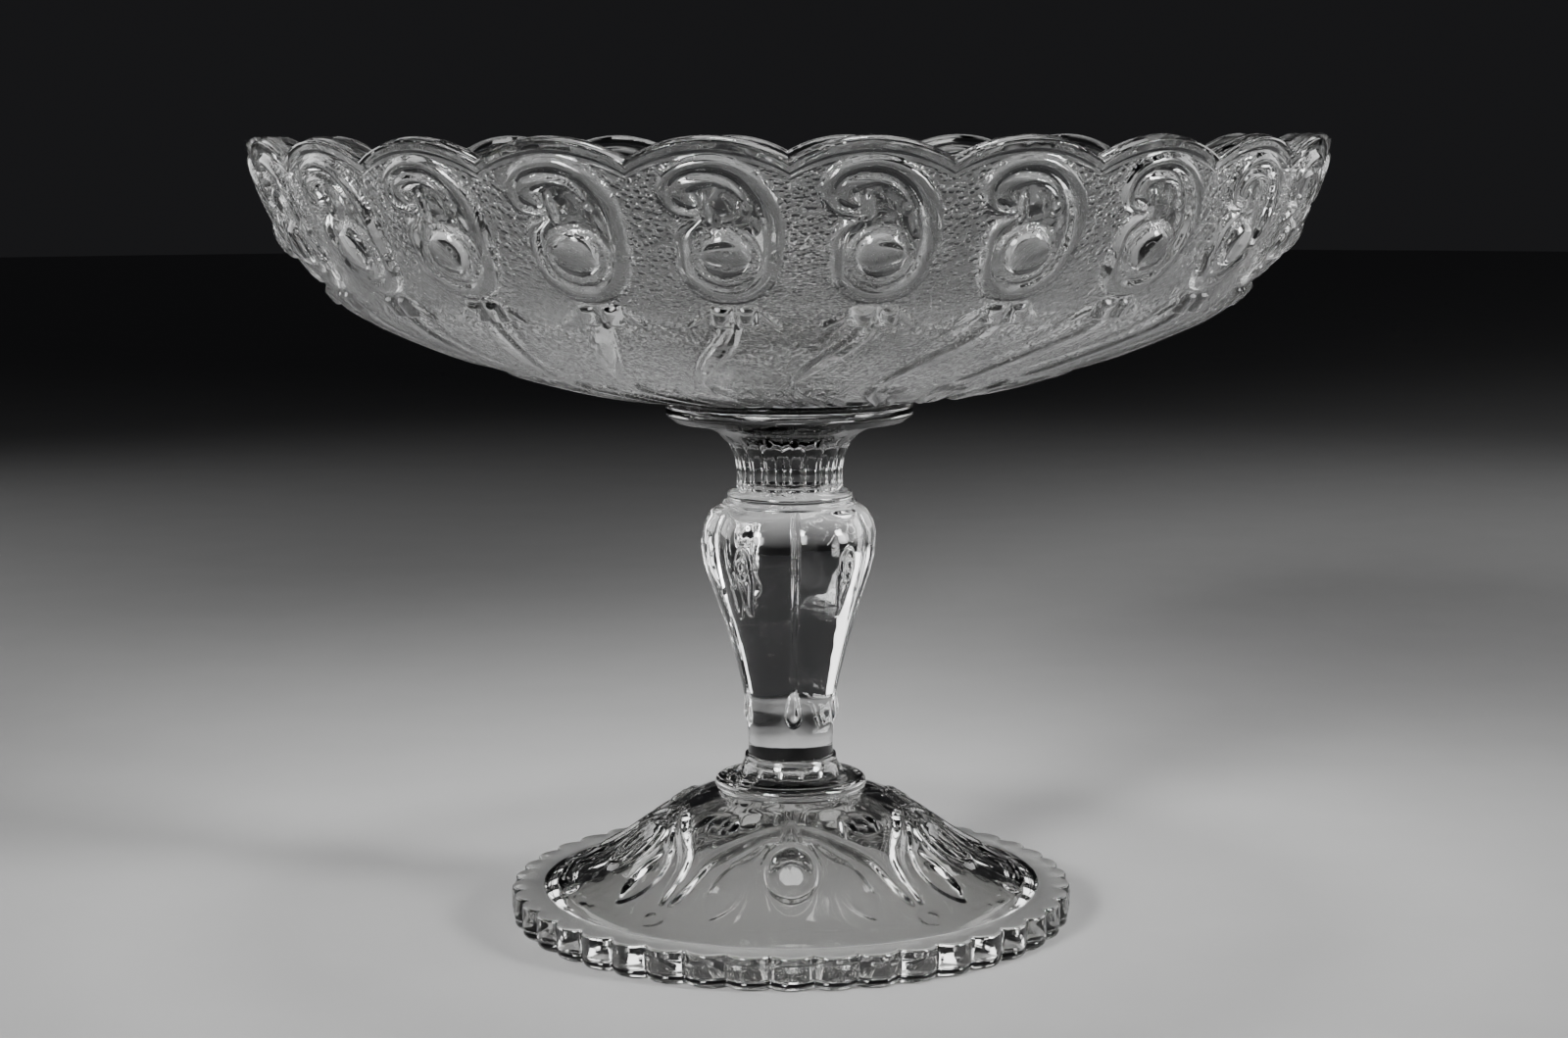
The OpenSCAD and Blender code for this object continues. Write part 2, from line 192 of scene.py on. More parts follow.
def threaded(points: Array, per_span: int = 14) -> Array:
    """Smooth line through points, a cubic between each two whose slope follows their neighbours.

    Between p1 and p2, with p0 before and p3 after, a point at the share t is half of
    2 p1 + (p2 - p0) t + (2 p0 - 5 p1 + 4 p2 - p3) t^2 + (3 p1 - p0 - 3 p2 + p3) t^3.

    Args:
        points: the points to pass through, one a row.
        per_span: number of steps between two of them.

    Returns:
        The points of the line.
    """
    padded = np.vstack([2 * points[0] - points[1], points, 2 * points[-1] - points[-2]])
    p0, p1, p2, p3 = padded[:-3], padded[1:-2], padded[2:-1], padded[3:]
    t = np.linspace(0.0, 1.0, per_span, endpoint=False)[:, None, None]
    spans = 0.5 * (
        2 * p1 + (p2 - p0) * t
        + (2 * p0 - 5 * p1 + 4 * p2 - p3) * t**2
        + (3 * p1 - p0 - 3 * p2 + p3) * t**3
    )
    return np.vstack([np.swapaxes(spans, 0, 1).reshape(-1, points.shape[1]), points[-1:]])


def nearest(x: Array, y: Array, line: Array, x_scale: Array | float = 1.0) -> tuple[Array, Array]:
    """Distance of each place in a row from the nearest point of a line, and which point it is.

    Args:
        x: place across.
        y: place down.
        line: points of the line, one a row.
        x_scale: length of one unit across, at each place.

    Returns:
        The distances, and the numbers of the nearest points.
    """
    across = (x[:, None] - line[None, :, 0]) * np.broadcast_to(x_scale, x.shape)[:, None]
    apart = np.hypot(across, y[:, None] - line[None, :, 1])
    best = apart.argmin(axis=1)
    return apart[np.arange(x.size), best], best


@dataclass(frozen=True)
class Stroke:
    """Raised line drawn on the glass, by its points (across, down, width) and its rise.

    It is half round, or with an edge it is flat on top and eases down over the edge's width.
    """

    points: tuple[StrokePoint, ...]
    rise: float
    edge: float = 0.0

    def height(self, x: Array, y: Array, x_scale: Array | float = 1.0) -> Array:
        """Height of the stroke at each place.

        Each place takes the distance to the nearest point of the smooth line, and the ridge
        stands over the width of the line there.

        Args:
            x: place across.
            y: place down.
            x_scale: length of one unit across, at each place.

        Returns:
            The height at each place.
        """
        line = threaded(np.array(self.points))
        scale = np.broadcast_to(x_scale, x.shape)
        near = np.full(x.shape, np.inf)
        width = np.ones(x.shape)
        reach = max(p[2] for p in self.points)
        inside = (y > line[:, 1].min() - reach) & (y < line[:, 1].max() + reach)
        if inside.any():
            near[inside], best = nearest(x[inside], y[inside], line, scale[inside])
            width[inside] = np.maximum(line[best, 2], THINNEST)
        if self.edge:
            return self.rise * (1 - eased(near - width / 2, -self.edge, 0.0))
        return half_round(near, width, self.rise)


def within(x: Array, y: Array, outline: Array) -> Array:
    """Whether each place lies inside a closed outline, by counting the edges that it crosses.

    Args:
        x: place across.
        y: place down.
        outline: corners of the outline.

    Returns:
        A mask that is true inside.
    """
    ax, ay = outline[:, 0], outline[:, 1]
    bx, by = np.roll(ax, -1), np.roll(ay, -1)
    px, py = x.ravel()[:, None], y.ravel()[:, None]
    spans = (ay > py) != (by > py)
    run = np.where(by == ay, 1.0, by - ay)
    crossing = px < (bx - ax) * (py - ay) / run + ax
    return (np.count_nonzero(spans & crossing, axis=1) % 2 == 1).reshape(x.shape)


def smoothed(height: Array) -> Array:
    """Heights averaged with their neighbours, weights 1 2 1, round and then down.

    Args:
        height: heights on a grid whose columns go round.

    Returns:
        The new heights.
    """
    height = (np.roll(height, 1, axis=1) + 2 * height + np.roll(height, -1, axis=1)) / 4
    up = np.vstack([height[:1], height[:-1]])
    down = np.vstack([height[1:], height[-1:]])
    return (up + 2 * height + down) / 4


def pearled(rows: int, columns: int, pitch: int, spread: float, seed: int) -> Array:
    """Round grains on a grid, one in each cell of pitch by pitch points.

    A grain sits at a random place of its cell, and its height is exp(-(d / spread)^2) of its
    distance d, in points. Columns go round, so the last cells meet the first.

    Args:
        rows: points down.
        columns: points round.
        pitch: points from one grain to the next.
        spread: radius of a grain, in points.
        seed: start of the random row.

    Returns:
        Heights from 0 to 1.
    """
    rng = np.random.default_rng(seed)
    cells_down, cells_round = rows // pitch + 2, columns // pitch
    first, last, least = 0.18, 0.82, 0.65
    off = rng.uniform(first, last, size=(cells_down, cells_round, 2)) * pitch
    size = rng.uniform(least, 1.0, size=(cells_down, cells_round))
    r, c = np.mgrid[0:rows, 0:columns]
    height = np.zeros((rows, columns))
    for down in (-1, 0, 1):
        for side in (-1, 0, 1):
            i = np.clip(r // pitch + down, 0, cells_down - 1)
            j = (c // pitch + side) % cells_round
            dr = (r // pitch + down) * pitch + off[i, j, 0] - r
            dc = (c // pitch + side) * pitch + off[i, j, 1] - c
            height = np.maximum(height, size[i, j] * np.exp(-(dr * dr + dc * dc) / spread**2))
    return height


# Skins


@dataclass
class Skin:
    """Closed skin through rings of points round the axis.

    radius and height hold a ring a row, from the middle of the underside, up the outside and over
    to the middle of the top. The two poles close it, at their heights. ground is the share of
    ground glass. fused_rows counts the first and the last rings of the fused faces. A skin with a
    span is the wedge between two columns, closed by two flat cuts through the axis.
    """

    name: str
    radius: Array
    height: Array
    poles: tuple[float, float]
    ground: Array
    fused_rows: tuple[int, int] = (0, 0)
    span: tuple[int, int] | None = None

    def _places(self, columns: Array) -> Array:
        """Points (r sin a, -r cos a, z) of each ring at the chosen columns, in millimetres.

        Args:
            columns: columns to take.

        Returns:
            A point for each ring and column.
        """
        total = self.radius.shape[1]
        turn = 2 * math.pi * columns / total
        r, z = self.radius[:, columns % total], self.height[:, columns % total]
        return np.stack([r * np.sin(turn), -r * np.cos(turn), z], axis=-1)

    def _normals(self, columns: Array) -> Array:
        """Outward direction at each point of the chosen columns, with the poles last.

        It is the cross product of the steps round and up between a point's neighbours on the whole
        skin, so that two wedges agree where they meet.

        Args:
            columns: columns to take, in order.

        Returns:
            A direction for each point, ring by ring.
        """
        near = self._places(np.arange(columns[0] - 1, columns[-1] + 2))
        round_ = near[:, 2:] - near[:, :-2]
        place = near[:, 1:-1]
        up = np.gradient(place, axis=0)
        first, last = self.fused_rows
        if first:
            up[first - 1] = place[first] - place[first - 1]
        if last:
            up[-last] = place[-last] - place[-last - 1]
        out = np.cross(round_, up).reshape(-1, 3)
        out /= np.maximum(np.linalg.norm(out, axis=1, keepdims=True), 1e-9)
        return np.vstack([out, [[0.0, 0.0, -1.0], [0.0, 0.0, 1.0]]])

    def build(self, skin: Material, fused: Material) -> bpy.types.Object:
        """Makes the mesh object.

        Quads join each ring to the next, triangles join the first and last ring to the poles.

        Args:
            skin: glass of the outside.
            fused: finish of the faces that are fused to a neighbour.

        Returns:
            The new object, at the origin.
        """
        rows, total = self.radius.shape
        whole = self.span is None
        first, last = (0, total) if whole else self.span
        columns = np.arange(first, last if whole else last + 1)
        loops, size, kind = self._faces(rows, columns.size, whole)
        mesh = bpy.data.meshes.new(self.name)
        ends = np.array([[0.0, 0.0, self.poles[0]], [0.0, 0.0, self.poles[1]]])
        points = np.vstack([self._places(columns).reshape(-1, 3), ends]) * MM
        mesh.vertices.add(len(points))
        mesh.vertices.foreach_set("co", points.astype(np.float32).ravel())
        mesh.loops.add(int(size.sum()))
        mesh.loops.foreach_set("vertex_index", loops.astype(np.int32))
        mesh.polygons.add(len(size))
        mesh.polygons.foreach_set("loop_start", (np.cumsum(size) - size).astype(np.int32))
        mesh.update(calc_edges=True)
        mesh.polygons.foreach_set("material_index", kind)
        mesh.polygons.foreach_set("use_smooth", kind == Face.SKIN.value)
        mark = mesh.attributes.new("ground", "FLOAT", "POINT")
        shade = np.concatenate([self.ground[:, columns % total].ravel(), [0.0, 0.0]])
        mark.data.foreach_set("value", shade.astype(np.float32))
        mesh.materials.append(skin)
        mesh.materials.append(fused)
        mesh.validate()
        if not whole:
            mesh.normals_split_custom_set_from_vertices(self._normals(columns).tolist())
        return placed(self.name, mesh)

    def _faces(self, rows: int, count: int, whole: bool) -> tuple[Array, Array, Array]:
        """Corners, number of corners and finish of all faces.

        Args:
            rows: number of rings.
            count: number of points in each ring.
            whole: whether the rings close.

        Returns:
            The faces' corners in one row, each face's number of corners, and its finish.
        """
        steps = count if whole else count - 1
        low, high = rows * count, rows * count + 1
        k = np.arange(steps)
        after = (k + 1) % count
        base = np.arange(rows - 1)[:, None] * count
        quads = np.stack([base + k, base + after, base + count + after, base + count + k], axis=-1)
        under = np.stack([np.full(steps, low), after, k], axis=-1)
        top = (rows - 1) * count
        over = np.stack([top + k, top + after, np.full(steps, high)], axis=-1)
        loops = [quads.ravel(), under.ravel(), over.ravel()]
        sizes = [np.full(quads[..., 0].size, 4), np.full(2 * steps, 3)]
        ends = [(Face.FUSED if marked else Face.SKIN).value for marked in self.fused_rows]
        finish = [np.repeat(self._row_finish(rows), steps), np.repeat(ends, steps)]
        if not whole:
            edge = np.arange(rows) * count
            loops += [np.concatenate([[low], edge, [high]])]
            loops += [np.concatenate([[high], (edge + count - 1)[::-1], [low]])]
            sizes += [[rows + 2] * 2]
            finish += [[Face.FUSED.value] * 2]
        return np.concatenate(loops), np.concatenate(sizes), np.concatenate(finish).astype(np.int32)

    def _row_finish(self, rows: int) -> Array:
        """Finish of the quads after each ring: fused up to the marked first and from the last.

        Args:
            rows: number of rings.

        Returns:
            The finish of each row of quads.
        """
        finish = np.full(rows - 1, Face.SKIN.value)
        first, last = self.fused_rows
        finish[: max(first - 1, 0)] = Face.FUSED.value
        if last:
            finish[rows - last :] = Face.FUSED.value
        return finish


def dress(piece: bpy.types.Object, node: str) -> None:
    """Lets a piece ride on the root and lets it stand for a node.

    Args:
        piece: object to dress.
        node: CAD node that it stands for.
    """
    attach(piece, ROOT)
    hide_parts(node)
    log.info("%s: %d faces for %s", piece.name, len(piece.data.polygons), node)


# Finishes


def feed(tree: Tree, socket: Socket, value: Socket | float | tuple) -> None:
    """Links another node's output to an input, or sets its constant.

    Args:
        tree: tree of the material.
        socket: input to feed.
        value: another node's output, or a constant.
    """
    if isinstance(value, bpy.types.NodeSocket):
        tree.links.new(value, socket)
    else:
        socket.default_value = value


def fed(tree: Tree, node: Node, **inputs: Socket | float | tuple) -> Node:
    """Feeds a node's inputs, each by its name with _ for a space, and returns the node.

    Args:
        tree: tree of the material.
        node: node to feed.
        inputs: value of each named input.

    Returns:
        The same node.
    """
    for name, value in inputs.items():
        feed(tree, node.inputs[name.replace("_", " ")], value)
    return node


def added(tree: Tree, kind: str, **inputs: Socket | float | tuple) -> Node:
    """Adds a shader node of a kind and feeds its inputs."""
    return fed(tree, tree.nodes.new(f"ShaderNode{kind}"), **inputs)


def blank(name: str) -> tuple[Material, Tree, Node]:
    """Makes a material, and returns it with its tree and its shader.

    Args:
        name: name of the material.

    Returns:
        The material, its tree and its shader.
    """
    made = bpy.data.materials.new(name)
    made.use_nodes = True
    return made, made.node_tree, made.node_tree.nodes["Principled BSDF"]


def reckoned(tree: Tree, operation: str, first: Socket, second: Socket | float) -> Socket:
    """Result of an operation on two values.

    Args:
        tree: tree of the material.
        operation: name of the operation.
        first: first value.
        second: second value.

    Returns:
        The result.
    """
    step = tree.nodes.new("ShaderNodeMath")
    step.operation = operation
    feed(tree, step.inputs[0], first)
    feed(tree, step.inputs[1], second)
    return step.outputs[0]


def ranged(
    tree: Tree, value: Socket, at_low: float, at_high: float, low: float = 0.0, high: float = 1.0
) -> Socket:
    """Value that runs from one number to another while the given one runs from low to high.

    Args:
        tree: tree of the material.
        value: value that is followed.
        at_low: result at low.
        at_high: result at high.
        low: start of the range.
        high: its end.

    Returns:
        The result.
    """
    made = added(tree, "MapRange", Value=value)
    fed(tree, made, From_Min=low, From_Max=high, To_Min=at_low, To_Max=at_high)
    return made.outputs["Result"]


def noise(tree: Tree, place: Socket, scale: float, detail: float) -> Socket:
    """Soft noise on the piece's own coordinates."""
    return added(tree, "TexNoise", Vector=place, Scale=scale, Detail=detail).outputs["Fac"]


@dataclass(frozen=True)
class PressedGlass:
    """Pressed and fire-polished glass, with a slightly wavy skin and ground places.

    Waves, grains and beads have their size as steps in a metre, and their depth in metres. Beads
    take the place of the grains above the height beads_from, also in metres. haze is the share of
    light that ground glass doesn't let through.
    """

    name: str
    tint: tuple[float, float, float] = (0.985, 0.99, 0.985)
    polish: float = 0.012
    ground_polish: float = 0.07
    ior: float = 1.52
    wave_size: float = 90.0
    wave_detail: float = 2.0
    wave_depth: float = 0.00016
    grain_size: float = 1250.0
    grain_share: float = 0.48
    grain_depth: float = 0.00026
    beads_from: float = 0.149
    beads_blend: float = 0.014
    bead_size: float = 780.0
    bead_share: float = 0.56
    bead_depth: float = 0.00038
    haze: float = 0.0

    def material(self) -> Material:
        """Builds the material: waves all over, and grains and a rougher skin where it is ground.

        Returns:
            The new material.
        """
        made, tree, shader = blank(self.name)
        place = added(tree, "TexCoord").outputs["Object"]
        ground = tree.nodes.new("ShaderNodeAttribute")
        ground.attribute_name = "ground"
        share = ground.outputs["Fac"]
        clear = ranged(tree, share, 1.0, 1.0 - self.haze) if self.haze else 1.0
        rough = ranged(tree, share, self.polish, self.ground_polish)
        height = added(tree, "SeparateXYZ", Vector=place).outputs["Z"]
        band = (self.beads_from, self.beads_from + self.beads_blend)
        fine = reckoned(tree, "MULTIPLY", share, ranged(tree, height, 1.0, 0.0, *band))
        coarse = reckoned(tree, "MULTIPLY", share, ranged(tree, height, 0.0, 1.0, *band))
        relief = (
            (noise(tree, place, self.wave_size, self.wave_detail), self.wave_depth),
            (self._grains(tree, place, fine, self.grain_size, self.grain_share), self.grain_depth),
            (self._grains(tree, place, coarse, self.bead_size, self.bead_share), self.bead_depth),
        )
        normal = {}
        for heights, depth in relief:
            bump = added(tree, "Bump", Height=heights, Distance=depth, Strength=1.0, **normal)
            normal = {"Normal": bump.outputs["Normal"]}
        fed(
            tree, shader, Base_Color=(*self.tint, 1.0), Transmission_Weight=clear, IOR=self.ior,
            Roughness=rough, **normal,
        )
        return made

    @staticmethod
    def _grains(tree: Tree, place: Socket, where: Socket, size: float, share: float) -> Socket:
        """Round grains kept to the ground places.

        Each is the dome root(1 - (d / g)^2) over the distance d from a scattered point, where g is
        the grain's radius in steps from point to point.

        Args:
            tree: tree of the material.
            place: coordinates that the points are scattered on.
            where: share of the height that is kept.
            size: number of steps in a metre.
            share: the radius g.

        Returns:
            The height of the grains.
        """
        made = added(tree, "TexVoronoi", Vector=place, Scale=size).outputs["Distance"]
        for operation, value in (
            ("DIVIDE", share), ("POWER", 2.0), ("SUBTRACT", 1.0), ("MULTIPLY", -1.0),
            ("MAXIMUM", 0.0), ("SQRT", 0.0), ("MULTIPLY", where),
        ):
            made = reckoned(tree, operation, made, value)
        return made


@dataclass(frozen=True)
class FusedFace:
    """Face between two pieces of glass that are fused: light goes straight through."""

    name: str = "fused_joint"

    def material(self) -> Material:
        """Builds the material.

        Returns:
            The new material.
        """
        made, tree, shader = blank(self.name)
        white = (1.0, 1.0, 1.0, 1.0)
        fed(tree, shader, Base_Color=white, Transmission_Weight=1.0, Roughness=0.0, IOR=1.0)
        return made


@dataclass(frozen=True)
class PaleFloor:
    """Matt pale table top with a faint unevenness."""

    name: str = "pale_floor"
    dark: float = 0.41
    light: float = 0.45
    grain_size: float = 30.0
    grain_detail: float = 6.0
    roughness: float = 0.75
    gloss: float = 0.25

    def material(self) -> Material:
        """Builds the material.

        Returns:
            The new material.
        """
        made, tree, shader = blank(self.name)
        place = added(tree, "TexCoord").outputs["Object"]
        grain = noise(tree, place, self.grain_size, self.grain_detail)
        ramp = added(tree, "ValToRGB", Fac=grain)
        for stop, grey in zip(ramp.color_ramp.elements, (self.dark, self.light)):
            stop.color = (grey, grey, grey, 1.0)
        colour = ramp.outputs["Color"]
        fed(tree, shader, Base_Color=colour, Roughness=self.roughness, Specular_IOR_Level=self.gloss)
        return made


# Bowl


@dataclass(frozen=True)
class Scroll:
    """The scroll motif of the bowl's side, in millimetres across and down from the rim's level.

    outline is the outer edge, band the middle of the raised band with its width, pad the comma
    inside the curl and leaf the pointed leaf between the curl's tip and the ring. ring and boss
    are a middle with a radius, and pegs a place across with a width. Pairs give where something
    starts and where it is whole.
    """

    band_rise: float = 1.45
    boss: StrokePoint = (0.0, 24.45, 5.15)
    boss_rise: float = 2.2
    ring: StrokePoint = (-0.1, 25.35, 7.2)
    ring_rise: float = 1.0
    ring_satin: float = 0.55
    ring_edge: float = 0.8
    ring_low: float = 0.72
    boss_blend: float = 1.4
    boss_base: float = 0.55
    groove_depth: float = 0.5
    groove_off: float = 0.25
    groove_half: float = 0.3
    floor_dip: float = 0.35
    floor_blend: Point = (0.6, 3.0)
    edge_width: float = 0.9
    edge_rise: float = 0.95
    edge_from: Point = (3.0, 8.0)
    ribs_round: float = 62.0
    rib_share: float = 0.13
    ribbed_sunk: float = 0.25
    ribbed_from: Point = (-15.0, 5.0)
    ribbed_to: Point = (128.0, 150.0)
    outline: tuple[Point, ...] = (
        (-11.1, 14.4), (-12.3, 11.9), (-12.1, 9.0), (-9.8, 6.0), (-6.4, 4.2), (-2.5, 3.4),
        (1.6, 3.8), (5.4, 6.0), (8.7, 9.3), (10.8, 13.3), (11.7, 17.4), (11.8, 22.2),
        (11.1, 27.7), (9.2, 32.1), (5.7, 35.6), (0.6, 37.0), (-4.7, 36.1), (-8.4, 32.7),
        (-9.9, 28.4), (-10.0, 25.0), (-9.9, 20.2), (-8.3, 17.1), (-5.9, 16.1), (-7.8, 15.8),
    )
    band: tuple[StrokePoint, ...] = (
        (-4.6, 15.3, 0.8), (-6.6, 15.3, 1.5), (-8.8, 14.7, 2.0), (-10.4, 13.2, 2.5),
        (-10.9, 11.0, 2.8), (-10.3, 8.6, 3.1), (-8.2, 6.5, 3.1), (-5.2, 5.4, 3.2),
        (-1.6, 5.1, 3.3), (1.9, 6.0, 3.5), (5.0, 8.1, 3.8), (7.6, 11.4, 4.0),
        (9.2, 15.2, 4.0), (9.8, 19.2, 3.8), (9.7, 23.4, 3.6), (9.0, 27.6, 3.8),
        (7.2, 31.2, 4.2), (4.2, 33.7, 4.5), (0.4, 34.6, 4.5), (-3.5, 33.8, 4.4),
        (-6.7, 31.2, 3.8), (-8.3, 27.6, 2.9), (-8.5, 23.6, 2.5), (-8.6, 20.4, 2.9),
        (-7.3, 18.2, 2.6), (-5.2, 16.8, 1.6), (-4.2, 16.1, 0.6),
    )
    pad: Stroke = Stroke(
        (
            (-6.1, 13.0, 2.8), (-7.6, 11.6, 4.2), (-7.2, 9.8, 4.0), (-5.2, 8.9, 3.0),
            (-2.6, 8.5, 2.0), (0.4, 9.1, 1.4), (2.8, 10.8, 0.8), (4.3, 13.0, 0.3),
        ),
        1.5,
    )
    leaf: Stroke = Stroke(
        ((-3.4, 11.2, 0.4), (-3.4, 13.4, 1.7), (-3.1, 15.6, 1.9), (-2.9, 17.4, 1.0)), 1.1
    )
    marks: tuple[Stroke, ...] = (
        Stroke(((3.6, 13.6, 0.6), (4.4, 14.4, 1.7), (4.4, 15.4, 0.8)), 0.6),
        Stroke(((-0.6, 17.2, 0.4), (1.0, 17.0, 0.9), (2.4, 16.4, 0.5), (3.2, 14.8, 0.3)), 0.55),
        Stroke(((5.2, 16.2, 0.4), (6.2, 18.0, 1.2), (6.3, 19.8, 0.5)), 0.6),
        Stroke(((0.2, 11.6, 0.4), (1.6, 13.0, 1.2), (1.9, 15.0, 0.4)), 0.45),
    )
    pegs: tuple[Point, ...] = ((-2.2, 5.4), (3.4, 5.0))
    peg_starts: Point = (37.6, 39.0)
    peg_ends: Point = (42.9, 43.7)
    peg_rise: float = 1.5
    side_leaves: tuple[Stroke, ...] = (
        Stroke(((6.4, 39.4, 0.6), (8.2, 41.4, 2.4), (10.2, 43.8, 1.4)), 0.6),
        Stroke(((-5.6, 40.4, 0.6), (-8.0, 42.2, 2.4), (-10.4, 43.8, 1.4)), 0.6),
    )

    def _band(self, x: Array, s: Array) -> Array:
        """The half-round band, with cross ribs on its lower turn, which lies a little deeper.

        Args:
            x: place across.
            s: place down from the rim's level.

        Returns:
            The height of the band.
        """
        line = threaded(np.array(self.band), 16)
        near, best = nearest(x.ravel(), s.ravel(), line)
        band = half_round(near, line[best, 2], self.band_rise).reshape(x.shape)
        turn = np.degrees(np.arctan2(s - self.ring[1], x - self.ring[0]))
        ribbed = eased(turn, *self.ribbed_from) * (1 - eased(turn, *self.ribbed_to))
        wave = np.cos(np.radians(turn) * self.ribs_round)
        return band * (1 + ribbed * self.rib_share * wave - self.ribbed_sunk * ribbed)

    def _ring(self, x: Array, s: Array) -> tuple[Array, Array]:
        """The ring and the boss in it, which is a dome in a groove, and the share of satin glass.

        The dome rises by the root of 1 - (d / r)^2 at the distance d from its middle.

        Args:
            x: place across.
            s: place down from the rim's level.

        Returns:
            The height, and the share of satin glass.
        """
        ring_x, ring_s, ring_r = self.ring
        boss_x, boss_s, boss_r = self.boss
        from_ring = np.hypot(x - ring_x, s - ring_s)
        from_boss = np.hypot(x - boss_x, s - boss_s)
        inner = eased(from_boss, boss_r, boss_r + self.boss_blend)
        ring = self.ring_rise * (1 - eased(from_ring, ring_r - self.ring_edge, ring_r))
        ring = ring * (self.ring_low + (1 - self.ring_low) * inner)
        groove = np.exp(-(((from_boss - boss_r - self.groove_off) / self.groove_half) ** 2))
        dome = np.sqrt(np.clip(1 - (from_boss / boss_r) ** 2, 0.0, 1.0))
        boss = self.ring_rise * self.boss_base + self.boss_rise * dome
        ring = np.maximum(ring - self.groove_depth * groove, 0.0)
        satin = self.ring_satin * (from_boss > boss_r) * (from_ring < ring_r)
        return np.where(from_boss < boss_r, boss, ring), satin

    def _feet(self, x: Array, s: Array) -> Array:
        """The two short pegs under the motif and the small leaves beside them.

        Args:
            x: place across.
            s: place down from the rim's level.

        Returns:
            The height of the pegs and leaves.
        """
        shown = eased(s, *self.peg_starts)
        kept = 1 - eased(s, *self.peg_ends)
        pegs = [half_round(x - at, wide, self.peg_rise) * shown * kept for at, wide in self.pegs]
        return np.maximum.reduce(pegs + [leaf.height(x, s) for leaf in self.side_leaves])

    def height(self, x: Array, s: Array) -> tuple[Array, Array, Array]:
        """Height of the motif, where it covers the stippled ground, and where its skin is satin.

        The height is the greatest of its forms: the band, the edge bead, the ring with its boss,
        the pad, the leaf and the small marks. Between them the ground lies a little deeper.

        Args:
            x: place across.
            s: place down from the rim's level.

        Returns:
            The height, a mask that is true on the motif, and the share of satin glass.
        """
        edge = threaded(np.array(self.outline + self.outline[:1]), 10)
        inner = within(x, s, edge)
        to_edge = nearest(x.ravel(), s.ravel(), edge)[0].reshape(x.shape)
        beside = np.where(inner, to_edge - self.edge_width / 2, self.edge_width)
        bead = half_round(beside, self.edge_width, self.edge_rise) * eased(s, *self.edge_from)
        ring, satin = self._ring(x, s)
        parts = [stroke.height(x, s) for stroke in (self.pad, self.leaf, *self.marks)]
        height = np.maximum.reduce([self._band(x, s), bead, ring, *parts])
        dip = self.floor_dip * inner * eased(to_edge, *self.floor_blend)
        height = np.where(height > TRACE, height, -dip)
        feet = self._feet(x, s)
        height = np.where(feet > TRACE, np.maximum(height, feet), height)
        return height, inner | (feet > TRACE), satin


